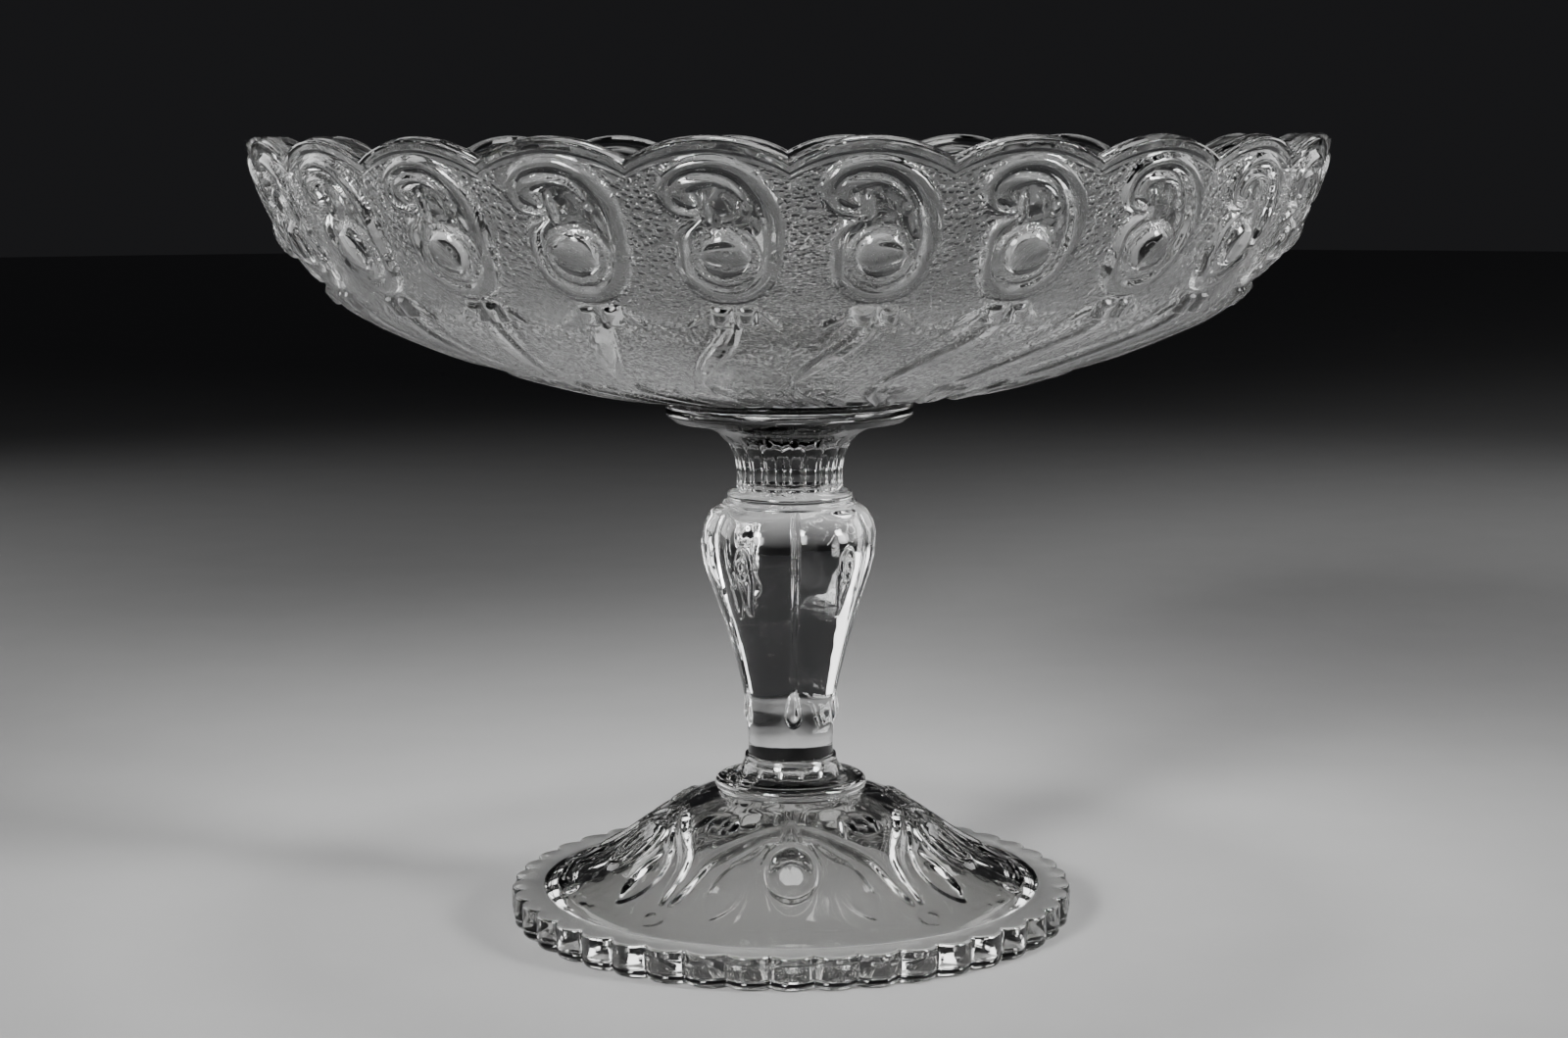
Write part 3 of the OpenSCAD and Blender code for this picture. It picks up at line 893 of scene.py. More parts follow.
@dataclass
class Bowl:
    """The bowl: scalloped rim, side wall with a scroll under each scallop, ribbed underside.

    The ornament is drawn by its length along the outline from the rim's level, and across in
    millimetres at the radius flat_r, or in degrees for the ribs.
    """

    scroll: Scroll = Scroll()
    rim_r: float = 125.0
    rim_z: float = 187.0
    hip_r: float = 105.5
    hip_z: float = 151.5
    under_r: float = 104.6
    under_z: float = 148.6
    seat_r: float = 29.0
    seat_z: float = 125.2
    side_pull: Point = (0.23, 0.61)
    under_pull: Point = (0.49, 0.79)
    wall: float = 4.6
    lip: float = 3.4
    lip_blend: float = 8.0
    scallops: int = 24
    scallop_rise: float = 4.5
    motif_turn: float = 1.3
    flat_r: float = 118.0
    rim_band: float = 3.0
    rim_rise: float = 0.55
    rim_blend: Point = (-0.4, 0.1)
    rim_bead: StrokePoint = (0.65, 0.8, 0.4)
    ground_blend: Point = (0.9, 1.5)
    ground_from: Point = (50.0, 62.0)
    stipple_rise: float = 0.25
    stipple_fine: float = 0.35
    stipple_turns: Point = (14.0, 24.0)
    pearl: tuple[int, float, int] = (3, 1.05, 5)
    dust: float = 0.22
    dust_seed: int = 11
    per_scallop: int = 80
    wedges: int = 6
    side_rows: int = 110
    under_rows: int = 76
    inside_rows: int = 26
    inside_crowd: float = 0.9
    inside_short: float = 6.0
    middle_sunk: float = 0.2
    lip_rows: int = 16
    lip_fall: float = 1.2
    fine_below: float = 45.0
    outline_points: int = 300
    hip_passes: int = 190
    hip_reach: float = 14.0
    ribs: tuple[Stroke, ...] = (
        Stroke(((-0.2, 44.4, 4.6), (-1.4, 50.0, 5.9), (-3.1, 57.0, 6.2), (-5.2, 65.0, 5.4),
                (-7.2, 73.0, 3.4), (-8.9, 82.0, 1.2)), 0.75, 1.3),
        Stroke(((-8.2, 84.0, 0.8), (-7.4, 90.0, 2.4), (-5.0, 96.0, 3.0), (-1.6, 102.0, 2.4),
                (1.2, 107.0, 1.0)), 0.9),
        Stroke(((-3.4, 85.0, 1.0), (-1.2, 87.6, 1.4), (-3.4, 91.0, 1.2), (-5.6, 87.6, 1.4),
                (-3.4, 85.0, 1.0)), 0.7),
        Stroke(((-1.2, 94.0, 0.8), (1.6, 99.0, 2.2), (5.0, 105.0, 1.8), (7.4, 110.0, 0.6)), 0.7),
    )

    def _edge_drop(self, turn: Array) -> Array:
        """Depth of the rim's edge under the scallops' tops: the arc R - sqrt(R^2 - x^2).

        Args:
            turn: angle of each column.

        Returns:
            The depth at each column.
        """
        pitch = 360.0 / self.scallops
        half = self.rim_r * math.sin(math.radians(pitch / 2))
        big = (half * half + self.scallop_rise**2) / (2 * self.scallop_rise)
        off = np.radians(aside(turn, pitch))
        return big - np.sqrt(big**2 - (self.rim_r * np.sin(off)) ** 2)

    def _outline(self) -> Array:
        """Outline (r, z) of the outside from the rim to the seat, in even steps.

        The side and the underside are two curves. Round the hip between them the line gives way
        to the same line averaged with its neighbours many times, so that it turns gently there.

        Returns:
            Points (r, z), one a row.
        """
        side = swept((self.rim_r, self.rim_z), (self.hip_r, self.hip_z), self.side_pull, 200)
        under = swept((self.under_r, self.under_z), (self.seat_r, self.seat_z), self.under_pull, 400)
        line = respaced(np.vstack([side, under]), self.outline_points)
        soft = line.copy()
        for _ in range(self.hip_passes):
            soft[1:-1] = (soft[:-2] + 2 * soft[1:-1] + soft[2:]) / 4
        far = np.abs(lengths(line) - lengths(side)[-1])[:, None]
        kept = eased(far, self.hip_reach / 2, self.hip_reach)
        return respaced(kept * line + (1 - kept) * soft, self.outline_points)

    @staticmethod
    def _trace(outline: Array, way: Array, lift: Array | float = 0.0) -> tuple[Array, Array]:
        """Radius and height at a length along an outline, lifted square to it.

        Args:
            outline: points (r, z) of the outline.
            way: length along it.
            lift: distance outwards.

        Returns:
            The radius and the height at each place.
        """
        length = lengths(outline)
        slope = np.diff(outline, axis=0) / np.diff(length)[:, None]
        middle = (length[1:] + length[:-1]) / 2
        r, z = (np.interp(way, length, outline[:, k]) for k in (0, 1))
        dr, dz = (np.interp(way, middle, slope[:, k]) for k in (0, 1))
        size = np.hypot(dr, dz)
        return r - dz / size * lift, z + dr / size * lift

    def _ways(self, outline: Array, drop: Array) -> Array:
        """Length along the outline at each ring and column, from the seat up to the rim's edge.

        Args:
            outline: points of the plain outline.
            drop: depth of the rim's edge at each column.

        Returns:
            A length for each ring and column.
        """
        end = lengths(outline)[-1]
        under = np.linspace(end, self.fine_below, self.under_rows + 1)[:-1, None] + 0.0 * drop
        share = np.linspace(1.0, 0.0, self.side_rows)[:, None]
        return np.vstack([under, drop + share * (self.fine_below - drop)])

    def _rib_height(self, off: Array, way: Array, radius: Array) -> Array:
        """Height of the ribs under the bowl, and of the ribs of the neighbours that reach over.

        Args:
            off: angle of each column from the middle of its scallop.
            way: length along the outline.
            radius: plain radius of each point.

        Returns:
            The height of the ribs.
        """
        pitch = 360.0 / self.scallops
        one = slice(0, self.per_scallop)
        scale = degrees_long(radius)[:, one]
        height = np.zeros_like(scale)
        for rib in self.ribs:
            for shift in (-pitch, 0.0, pitch):
                across = np.broadcast_to(off[one] + shift, scale.shape)
                height = np.maximum(height, rib.height(across, way[:, one], scale))
        return np.tile(height, self.scallops)

    def _stipple(self, way: Array) -> Array:
        """Height of the stippled ground: coarse grains near the rim, finer ones further down.

        Args:
            way: length along the outline.

        Returns:
            The height of the ground.
        """
        coarse = 1 - eased(way, *self.stipple_turns)
        grains = pearled(*way.shape, *self.pearl)
        dust = np.random.default_rng(self.dust_seed).uniform(0.0, self.dust, size=way.shape)
        grains = grains * (self.stipple_fine + (1 - self.stipple_fine) * coarse)
        return self.stipple_rise * (grains + dust * (1 - coarse))

    def _outside(self, turn: Array, drop: Array, outline: Array) -> tuple[Array, Array, Array]:
        """Rings of the outside from the seat up to the rim, with all their ornament.

        Args:
            turn: angle of each column.
            drop: depth of the rim's edge at each column.
            outline: points of the plain outline.

        Returns:
            Radius, height, and the share of ground glass of each point.
        """
        pitch = 360.0 / self.scallops
        off = aside(turn, pitch, -self.motif_turn)
        way = self._ways(outline, drop)
        plain_r, _ = self._trace(outline, way)
        ribs = self._rib_height(off, way, plain_r)
        high = slice(self.under_rows, None)
        one = slice(0, self.per_scallop)
        across = np.broadcast_to(degrees_long(off * self.flat_r), way.shape)[high, one]
        motif, covered, satin = np.zeros_like(way), np.zeros_like(way), np.zeros_like(way)
        for whole, tile in zip((motif, covered, satin), self.scroll.height(across, way[high, one])):
            whole[high] = np.tile(tile, self.scallops)
        below = way - drop
        first, last = self.rim_blend
        band = self.rim_rise * (1 - eased(below, self.rim_band + first, self.rim_band + last))
        bead_at, bead_wide, bead_rise = self.rim_bead
        band = np.maximum(band, half_round(below - self.rim_band - bead_at, bead_wide, bead_rise))
        first, last = self.ground_blend
        clear = eased(below, self.rim_band + first, self.rim_band + last)
        clear = clear * eased(plain_r, *self.ground_from)
        ground = (1 - np.maximum(covered, ribs > TRACE)) * clear
        relief = np.where(ribs > motif, smoothed(ribs), smoothed(motif))
        relief = np.maximum(relief, np.where(band > TRACE / 2, band, relief))
        relief = relief + self._stipple(way) * ground
        r, z = self._trace(outline, way, relief)
        r[-1], z[-1] = self._trace(outline, drop + self.lip_fall)
        return r, z, np.maximum(ground, satin)

    def skins(self) -> list[Skin]:
        """The bowl's closed skin, cut into equal wedges so that each stays a light mesh.

        The lip is a half round from the outside over to the inside, and the inside follows the
        outline, one wall thickness in.

        Returns:
            One wedge for each share of the circle.
        """
        columns = self.scallops * self.per_scallop
        turn = 360.0 * np.arange(columns) / columns
        drop = self._edge_drop(turn)
        outline = self._outline()
        out_r, out_z, out_ground = self._outside(turn, drop, outline)
        seat_r = np.array(SEAT_RINGS)[:, None] + 0.0 * turn
        seat_z = np.full_like(seat_r, self.seat_z)
        around = np.radians(np.linspace(0.0, 180.0, self.lip_rows + 2))[1:-1, None]
        lip_way = drop + self.lip_fall * (1 - np.sin(around))
        lip_r, lip_z = self._trace(outline, lip_way, -self.lip / 2 * (1 - np.cos(around)))
        reach = lengths(outline)[-1] - self.inside_short
        share = np.linspace(0.0, 1.0, self.inside_rows)[:, None] ** self.inside_crowd
        in_way = drop + self.lip_fall + share * (reach - drop)
        thick = self.lip + (self.wall - self.lip) * eased(in_way - drop, 0.0, self.lip_blend)
        in_r, in_z = self._trace(outline, in_way, -thick)
        middle_z = float(in_z[-1].mean()) - self.middle_sunk
        radius = np.vstack([seat_r, out_r, lip_r, in_r, in_r[-1:] / 2])
        height = np.vstack([seat_z, out_z, lip_z, in_z, np.full((1, columns), middle_z)])
        ground = np.zeros_like(radius)
        ground[len(seat_r) : len(seat_r) + len(out_r)] = out_ground
        step = columns // self.wedges
        return [
            Skin(
                f"bowl_wedge_{k + 1}", radius, height, (self.seat_z, middle_z), ground,
                fused_rows=(3, 0), span=(k * step, (k + 1) * step),
            )
            for k in range(self.wedges)
        ]

    def build(self, fused: Material) -> None:
        """Builds and dresses the wedges.

        Args:
            fused: finish of the faces that are fused to a neighbour.
        """
        glass = PressedGlass("bowl_pressed_glass").material()
        for skin in self.skins():
            dress(skin.build(glass, fused), "bowl")


# Wafer


@dataclass
class Wafer:
    """Thin disc of glass that joins the bowl to the stem."""

    low: float = 124.3
    thick: float = 0.9
    columns: int = 192

    def build(self, fused: Material) -> None:
        """Builds the disc: flat faces, fused to their neighbours, and a half-round edge.

        Args:
            fused: finish of the faces that are fused to a neighbour.
        """
        half = self.thick / 2
        flat = SEAT_RINGS[:2]
        edge = arc((SEAT_RINGS[2], self.low + half), (half, half), -90.0, 90.0, 11)
        r = np.concatenate([flat, edge[:, 0], flat[::-1]])
        z = np.concatenate([[self.low] * 2, edge[:, 1], [self.low + self.thick] * 2])
        shape = (r.size, self.columns)
        skin = Skin(
            "joining_wafer",
            np.broadcast_to(r[:, None], shape),
            np.broadcast_to(z[:, None], shape),
            (self.low, self.low + self.thick),
            np.zeros(shape),
            fused_rows=(3, 3),
        )
        glass = PressedGlass("wafer_glass").material()
        dress(skin.build(glass, fused), "wafer")


# Stem


@dataclass
class Stem:
    """Baluster stem with five lobes, a spiral on each, a fluted neck and a flange.

    shape_shares holds height, radius and depth of the grooves as shares of the body's. collar
    holds a share of collar_r and a height over the body. tip is the place, width and rise of the
    tip on each flute, drop_half a drop's half width and its reach up and down.
    """

    low: float = 39.5
    body_h: float = 60.4
    body_r: float = 21.1
    collar_h: float = 3.9
    collar_r: float = 15.0
    neck_h: float = 16.4
    neck_r: float = 12.0
    bevel: float = 1.7
    edge: float = 2.4
    flange_r: float = 29.5
    lobes: int = 5
    groove: float = 2.7
    groove_crowd: float = 1.4
    channel: float = 0.8
    channel_half: float = 1.3
    turned: float = 4.0
    flutes: int = 16
    flute_rise: float = 1.1
    flute_mid: float = 0.35
    flute_blend: float = 0.5
    flute_fade: Point = (13.0, 17.0)
    neck_gap: float = 0.2
    neck_rows: int = 10
    flare_rows: int = 40
    flare_from: float = 0.25
    flare_pull: float = 0.9
    tip: StrokePoint = (16.2, 2.2, 0.5)
    tip_narrow: float = 1.25
    seam_half: float = 0.8
    seam_rise: float = 0.12
    seam_from: Point = (50.0, 70.0)
    spiral_down: float = 13.0
    spiral_rise: float = 0.8
    spiral_start: tuple[StrokePoint, ...] = (
        (-0.9, 11.4, 0.6), (-2.2, 8.8, 1.0), (-3.8, 5.0, 1.0), (-4.5, 2.0, 0.9),
    )
    coil_turn: Point = (180.0, 830.0)
    coil_size: Point = (5.0, 0.7)
    coil_points: int = 22
    mirrored: tuple[int, ...] = (0, 2)
    drop_z: float = 50.6
    drop_half: StrokePoint = (2.1, 5.2, 3.0)
    drop_rise: float = 1.15
    drop_hollow: Point = (0.55, 0.42)
    columns: int = 540
    body_rows: int = 230
    seat_inset: float = 0.02
    shape_shares: tuple[StrokePoint, ...] = (
        (0.0, 0.487, 0.0), (0.07, 0.484, 0.0), (0.13, 0.502, 0.05), (0.19, 0.53, 0.2),
        (0.235, 0.533, 0.3), (0.31, 0.577, 0.38), (0.43, 0.668, 0.5), (0.55, 0.772, 0.66),
        (0.67, 0.885, 0.85), (0.76, 0.962, 1.0), (0.85, 1.0, 1.0), (0.91, 0.99, 1.0),
        (0.96, 0.935, 1.0), (0.985, 0.87, 0.9), (1.0, 0.78, 0.75),
    )
    tail: Stroke = Stroke(
        ((4.5, 1.0, 1.1), (4.2, 3.4, 1.0), (2.6, 6.6, 0.9), (1.0, 9.4, 0.8), (0.7, 11.4, 0.5)), 0.7
    )
    collar: tuple[Point, ...] = (
        (1.07, 0.25), (1.075, 0.8), (1.04, 1.15), (0.985, 1.35), (0.985, 1.7), (1.0, 2.0),
        (1.0, 2.7), (0.985, 3.1), (0.94, 3.5), (0.88, 3.8), (0.84, 3.9),
    )

    def _body(self, turn: Array) -> tuple[Array, Array]:
        """Radius and height of the baluster's rings.

        The radius is a smooth line through the shares, less the grooves and the narrow channel in
        each, plus the spirals, the drops and the mould seam. A groove is (1 - |sin(5a/2)|) to a
        power deep.

        Args:
            turn: angle of each column, from the middle of a groove.

        Returns:
            Radius and height.
        """
        table = threaded(np.array(self.shape_shares), 20)
        share = np.linspace(0.0, 1.0, self.body_rows)
        base = np.interp(share, table[:, 0], table[:, 1])[:, None] * self.body_r
        deep = np.interp(share, table[:, 0], table[:, 2])[:, None] * self.groove
        lobed = (1 - np.abs(np.sin(np.radians(turn * self.lobes / 2)))) ** self.groove_crowd
        pitch = 360.0 / self.lobes
        off = degrees_long(np.abs(aside(turn, pitch, pitch / 2)) * base)
        channel = self.channel * (1 - eased(off, 0.0, self.channel_half)) * deep / self.groove
        z = self.low + share * self.body_h
        height = np.broadcast_to(z[:, None], (self.body_rows, self.columns)).copy()
        radius = base - deep * lobed - channel
        radius = radius + self._drawn(turn, z, base) + self._drops(turn, z, base)
        seam = np.exp(-(aside(turn, 360.0, 180.0) / self.seam_half) ** 2)
        radius += self.seam_rise * seam * eased(z[:, None], *self.seam_from)
        return radius, height

    def _drawn(self, turn: Array, z: Array, base: Array) -> Array:
        """Spirals on the lobes: a cord that winds in from its tail, and a second tail.

        From its left edge the cord turns over the top with the radius shrinking evenly, a little
        under two turns in all. Some lobes carry the mirrored pair.

        Args:
            turn: angle of each column.
            z: height of each ring.
            base: plain radius of each ring.

        Returns:
            The height of the spirals.
        """
        pitch = 360.0 / self.lobes
        side = np.where(np.isin(np.floor(turn / pitch), self.mirrored), -1.0, 1.0)
        a = np.radians(np.linspace(*self.coil_turn, self.coil_points))
        size = np.linspace(*self.coil_size, self.coil_points)
        coil = np.stack([size * np.cos(a), size * np.sin(a), np.ones_like(a)], axis=1)
        cord = Stroke(self.spiral_start + tuple(map(tuple, coil.tolist())), self.spiral_rise)
        across = np.broadcast_to(aside(turn, pitch) * side, (z.size, turn.size))
        down = np.broadcast_to((self.low + self.body_h - self.spiral_down - z)[:, None], across.shape)
        scale = degrees_long(np.broadcast_to(base, across.shape))
        lines = [stroke.height(across, down, scale) for stroke in (cord, self.tail)]
        return smoothed(np.maximum.reduce(lines))

    def _drops(self, turn: Array, z: Array, base: Array) -> Array:
        """A raised drop at the lower end of each groove: an oval dome with a hollow in it.

        Args:
            turn: angle of each column.
            z: height of each ring.
            base: plain radius of each ring.

        Returns:
            The height of the drops.
        """
        pitch = 360.0 / self.lobes
        off = degrees_long(aside(turn, pitch, pitch / 2) * base)
        down = np.broadcast_to(z[:, None] - self.drop_z, off.shape)
        half, above, below = self.drop_half
        far = np.sqrt((off / half) ** 2 + (down / np.where(down > 0, above, below)) ** 2)
        depth, share = self.drop_hollow
        dome = self.drop_rise * np.sqrt(np.clip(1 - far**2, 0.0, 1.0))
        return smoothed(np.maximum(dome - depth * np.exp(-((far / share) ** 2)), 0.0))

    def _top_line(self) -> Array:
        """Outline of the collar, the neck, the flare and the flange up to its flat face.

        Returns:
            Points (r, z), with z over the body.
        """
        bevel_z = self.collar_h + self.neck_h
        edge_z = bevel_z + self.bevel
        top_z = edge_z + self.edge
        start_z = self.collar_h + self.neck_h * self.flare_from
        handle = (self.neck_r, start_z + self.flare_pull * self.neck_h * (1 - self.flare_from))
        flare = bent((self.neck_r, start_z), handle, (self.flange_r - 1.2 * self.bevel, bevel_z), 200)
        straight = np.linspace(self.collar_h + self.neck_gap, start_z, self.neck_rows)
        rim = [
            (self.flange_r - 1.1 * self.bevel, bevel_z + 0.25), (self.flange_r - 0.5, edge_z - 0.5),
            (self.flange_r - 0.12, edge_z - 0.1), (self.flange_r, edge_z + 0.3),
            (self.flange_r, top_z - 0.7), (self.flange_r - 0.15, top_z - 0.25),
            (self.flange_r - 0.6, top_z),
        ]
        return np.vstack([
            np.array(self.collar) * (self.collar_r, 1.0),
            np.stack([np.full_like(straight, self.neck_r), straight], axis=1),
            respaced(flare, self.flare_rows)[1:],
            rim + [(r, top_z) for r in SEAT_RINGS[::-1]],
        ])

    def _top(self, turn: Array) -> tuple[Array, Array]:
        """Collar, fluted neck, flare and flange.

        The flutes are ribs, as high as the root of |cos(8a)|, that stand between the collar and
        the flare, fade into it and end in small tips.

        Args:
            turn: angle of each column.

        Returns:
            Radius and height of each point.
        """
        line = self._top_line()
        radius = np.broadcast_to(line[:, :1], (len(line), self.columns))
        tall = np.broadcast_to(line[:, 1:], radius.shape)
        shown = eased(tall, self.collar_h, self.collar_h + self.flute_blend)
        shown = shown * (1 - eased(tall, *self.flute_fade))
        wave = np.sqrt(np.abs(np.cos(np.radians(turn) * self.flutes / 2)))
        pitch = 360.0 / self.flutes
        off = degrees_long(aside(turn, pitch, pitch / 2) * self.neck_r) * self.tip_narrow
        tip_at, tip_wide, tip_rise = self.tip
        tips = half_round(np.hypot(off, tall - tip_at), tip_wide, tip_rise)
        radius = radius + self.flute_rise * shown * (wave - self.flute_mid) + tips
        return radius, self.low + self.body_h + tall

    def build(self, fused: Material) -> None:
        """Builds and dresses the stem.

        Args:
            fused: finish of the faces that are fused to a neighbour.
        """
        turn = 360.0 * np.arange(self.columns) / self.columns - self.turned
        body_r, body_z = self._body(turn)
        top_r, top_z = self._top(turn)
        ends = np.array([[POLE_R], [body_r[0].mean() - self.seat_inset]])
        end_r = np.broadcast_to(ends, (2, self.columns))
        end_z = np.full((2, self.columns), self.low)
        radius = np.vstack([end_r, body_r[1:], top_r])
        height = np.vstack([end_z, body_z[1:], top_z])
        top = self.low + self.body_h + self.collar_h + self.neck_h + self.bevel + self.edge
        glass = PressedGlass("stem_pressed_glass", tint=(0.99, 0.992, 0.99), polish=0.008).material()
        half = self.columns // 2
        for k in range(2):
            first = half // 2 + k * half
            skin = Skin(
                f"stem_half_{k + 1}", radius, height, (self.low, top), np.zeros_like(radius),
                fused_rows=(2, 3), span=(first, first + half),
            )
            dress(skin.build(glass, fused), "stem")


# Foot


@dataclass(frozen=True)
class OvalRing:
    """Half-round ring round an oval on the foot.

    at is the oval's middle down the dome, half its half width and half height, and share the part
    of them at which the ring stands. size is the length that the whole of them counts for.
    """

    at: float
    half: Point
    share: float
    size: float
    width: float
    rise: float

    def distance(self, across: Array, down: Array) -> Array:
        """Distance from the oval's middle, 1 on the oval itself."""
        return np.hypot(across / self.half[0], (down - self.at) / self.half[1])

    def height(self, across: Array, down: Array) -> Array:
        """Height of the ring at each place."""
        far = self.distance(across, down) - self.share
        return half_round(far * self.size, self.width, self.rise)


@dataclass
class Foot:
    """Hollow domed foot with five ovals between drawn-out legs, and a fluted border.

    The ornament is drawn by its length down the dome, and across in degrees. petal_oval is the
    middle and the half sizes of the dish inside a petal, dimple the place, radius and depth of
    the marks on the neck. drawn_at gives radii of the dome with the drawn length at each. Bends
    are the handles of the outline's curves, and hollow_bends the curves of the hollow with their
    rows.
    """

    top_z: float = 39.5
    seat_r: float = 10.94
    stem_r: float = 10.26
    ring_z: float = 32.5
    ring_r: float = 18.2
    ring_in: float = 1.5
    ring_half: Point = (1.6, 1.6)
    ring_turn: Point = (80.0, -58.0)
    ring_rows: int = 12
    neck_bend: Point = (11.67, 34.25)
    neck_rows: int = 12
    crown_bend: Point = (26.4, 29.5)
    crown_rows: int = 30
    apron_bend: Point = (46.6, 12.6)
    apron_rows: int = 48
    turn_r: float = 36.36
    turn_z: float = 21.08
    dome_r: float = 59.6
    border_z: float = 8.2
    foot_r: float = 67.6
    flutes: int = 42
    flute_r: float = 5.8
    per_flute: int = 16
    flat_to: float = 62.4
    repeats: int = 5
    drawn_at: tuple[Point, ...] = (
        (10.9, 0.0), (12.3, 2.87), (14.5, 5.65), (17.0, 8.73), (21.2, 13.46), (24.9, 17.32),
        (27.9, 20.98), (30.7, 24.53), (36.4, 31.67), (42.0, 38.55), (50.0, 47.83), (56.0, 54.41),
        (59.6, 58.27),
    )
    legs: tuple[Stroke, ...] = (
        Stroke(((5.0, 21.5, 1.2), (12.0, 23.2, 2.0), (19.0, 26.2, 2.6), (26.0, 29.4, 3.0),
                (31.2, 33.2, 3.2), (33.0, 38.0, 3.2), (33.9, 43.0, 2.8), (34.6, 46.4, 1.4)), 0.95),
        Stroke(((8.0, 25.0, 0.8), (12.6, 27.0, 1.4), (17.6, 30.0, 1.6), (22.0, 32.2, 1.2)), 0.6),
    )
    petals: tuple[Stroke, ...] = (
        Stroke(((21.6, 32.6, 0.8), (24.6, 36.0, 1.1), (25.8, 41.0, 1.1), (24.4, 46.0, 1.1),
                (21.5, 49.4, 1.3), (17.8, 46.4, 1.0), (15.6, 42.0, 0.9), (15.4, 37.0, 0.8),
                (18.0, 33.6, 0.7)), 0.6),
    )
    flame: Stroke = Stroke(((0.8, 19.4, 0.6), (2.2, 22.0, 1.6), (4.6, 25.2, 0.6)), 0.7)
    oval: OvalRing = OvalRing(34.6, (6.2, 8.3), 0.88, 7.25, 1.8, 0.95)
    halo: OvalRing = OvalRing(34.6, (6.2, 8.3), 1.22, 7.25, 1.0, 0.4)
    halo_ends: Point = (30.0, 36.0)
    relief_from: Point = (10.0, 12.0)
    bud: OvalRing = OvalRing(53.4, (1.9, 1.5), 0.8, 1.7, 0.9, 0.45)
    small_oval: OvalRing = OvalRing(52.2, (3.3, 3.0), 0.8, 3.0, 1.1, 0.5)
    dish: float = 0.75
    dish_blend: Point = (0.45, 0.74)
    petal_dish: float = 0.35
    petal_blend: Point = (0.5, 1.0)
    petal_oval: tuple[float, float, float, float] = (20.4, 41.5, 3.2, 6.0)
    swag: StrokePoint = (53.4, 0.9, 0.3)
    swag_hang: float = 0.6
    swag_waves: float = 18.0
    swag_starts: Point = (3.0, 5.0)
    swag_ends: Point = (24.0, 30.0)
    curl_at: float = 21.3
    curl_turn: Point = (200.0, 760.0)
    curl_shrinks: Point = (1.0, 0.22)
    curl_half: Point = (10.5, 3.1)
    curl_points: int = 20
    curl_tail: StrokePoint = (-13.0, 4.0, 0.6)
    curl_width: float = 1.25
    curl_rise: float = 0.95
    dimple: tuple[float, float, float] = (3.6, 12.6, 0.5)
    dimple_blend: Point = (0.3, 1.2)
    dimples: int = 15
    hollow_edge: tuple[Point, ...] = ((57.2, 0.0), (56.4, 0.9))
    hollow_bends: tuple[tuple[Point, Point, Point, int], ...] = (
        ((54.8, 3.6), (44.0, 7.6), (34.2, 16.4), 12), ((33.4, 17.2), (26.0, 24.6), (17.0, 27.2), 8),
    )
    hollow_top: Point = (11.0, 28.2)
    hollow_z: float = 28.4
    worn: float = 0.8
    worn_within: float = 0.2
    worn_from: float = 0.3

    def _outline(self) -> tuple[Array, Array]:
        """Outline of the dome's outside from the seat to the border, and its drawn length.

        Returns:
            Points (r, z), and the length s that the ornament is drawn with at each.
        """
        turn = (self.turn_r, self.turn_z)
        neck_end = (self.ring_r - 2.0, self.ring_z + 1.35)
        neck = bent((self.seat_r, self.top_z), self.neck_bend, neck_end, self.neck_rows)
        middle = (self.ring_r - self.ring_in, self.ring_z)
        ring = arc(middle, self.ring_half, *self.ring_turn, self.ring_rows)
        crown = bent((self.ring_r - 0.3, self.ring_z - 1.45), self.crown_bend, turn, 60)
        apron = bent(turn, self.apron_bend, (self.dome_r, self.border_z + 0.25), 90)
        crown, apron = respaced(crown, self.crown_rows), respaced(apron, self.apron_rows)[1:]
        line = np.vstack([neck, ring, crown, apron])
        return line, np.interp(np.maximum.accumulate(line[:, 0]), *np.array(self.drawn_at).T)

    def _relief(self, turn: Array, line: Array, s: Array) -> Array:
        """Height of the dome's ornament.

        The legs and petals are mirrored about each oval; the curls and the small ovals stand
        between them. Each oval is a half-round ring round a dished middle.

        Args:
            turn: angle of each column.
            line: outline of the dome.
            s: drawn length at each of its points.

        Returns:
            The height of the ornament.
        """
        pitch = 360.0 / self.repeats
        shape = (len(s), turn.size)
        between = np.broadcast_to(aside(turn, pitch), shape)
        down = np.broadcast_to(s[:, None], shape)
        scale = np.broadcast_to(degrees_long(line[:, :1]), shape)
        folded = np.abs(np.broadcast_to(aside(turn, pitch, pitch / 2), shape))
        beside = folded * scale
        strokes = (*self.legs, *self.petals, self.flame)
        parts = [stroke.height(folded, down, scale) for stroke in strokes]
        parts += [ring.height(beside, down) for ring in (self.oval, self.bud)]
        parts += [self.halo.height(beside, down) * (1 - eased(down, *self.halo_ends))]
        parts += [self.small_oval.height(between * scale, down)]
        parts += [self._curl().height(between, down, scale)]
        swag_at, swag_wide, swag_rise = self.swag
        swag = down - (swag_at - self.swag_hang * np.cos(np.radians(folded) * self.swag_waves))
        swag = half_round(swag, swag_wide, swag_rise) * (1 - eased(folded, *self.swag_ends))
        parts += [swag * eased(folded, *self.swag_starts)]
        height = np.maximum.reduce(parts)
        dish = self.dish * (1 - eased(self.oval.distance(beside, down), *self.dish_blend))
        petal_turn, petal_at, petal_wide, petal_tall = self.petal_oval
        petal = np.hypot((folded - petal_turn) * scale / petal_wide, (down - petal_at) / petal_tall)
        petal_dish = self.petal_dish * (1 - eased(petal, *self.petal_blend))
        return smoothed(np.where(height > TRACE, height, 0.0)) - dish - petal_dish

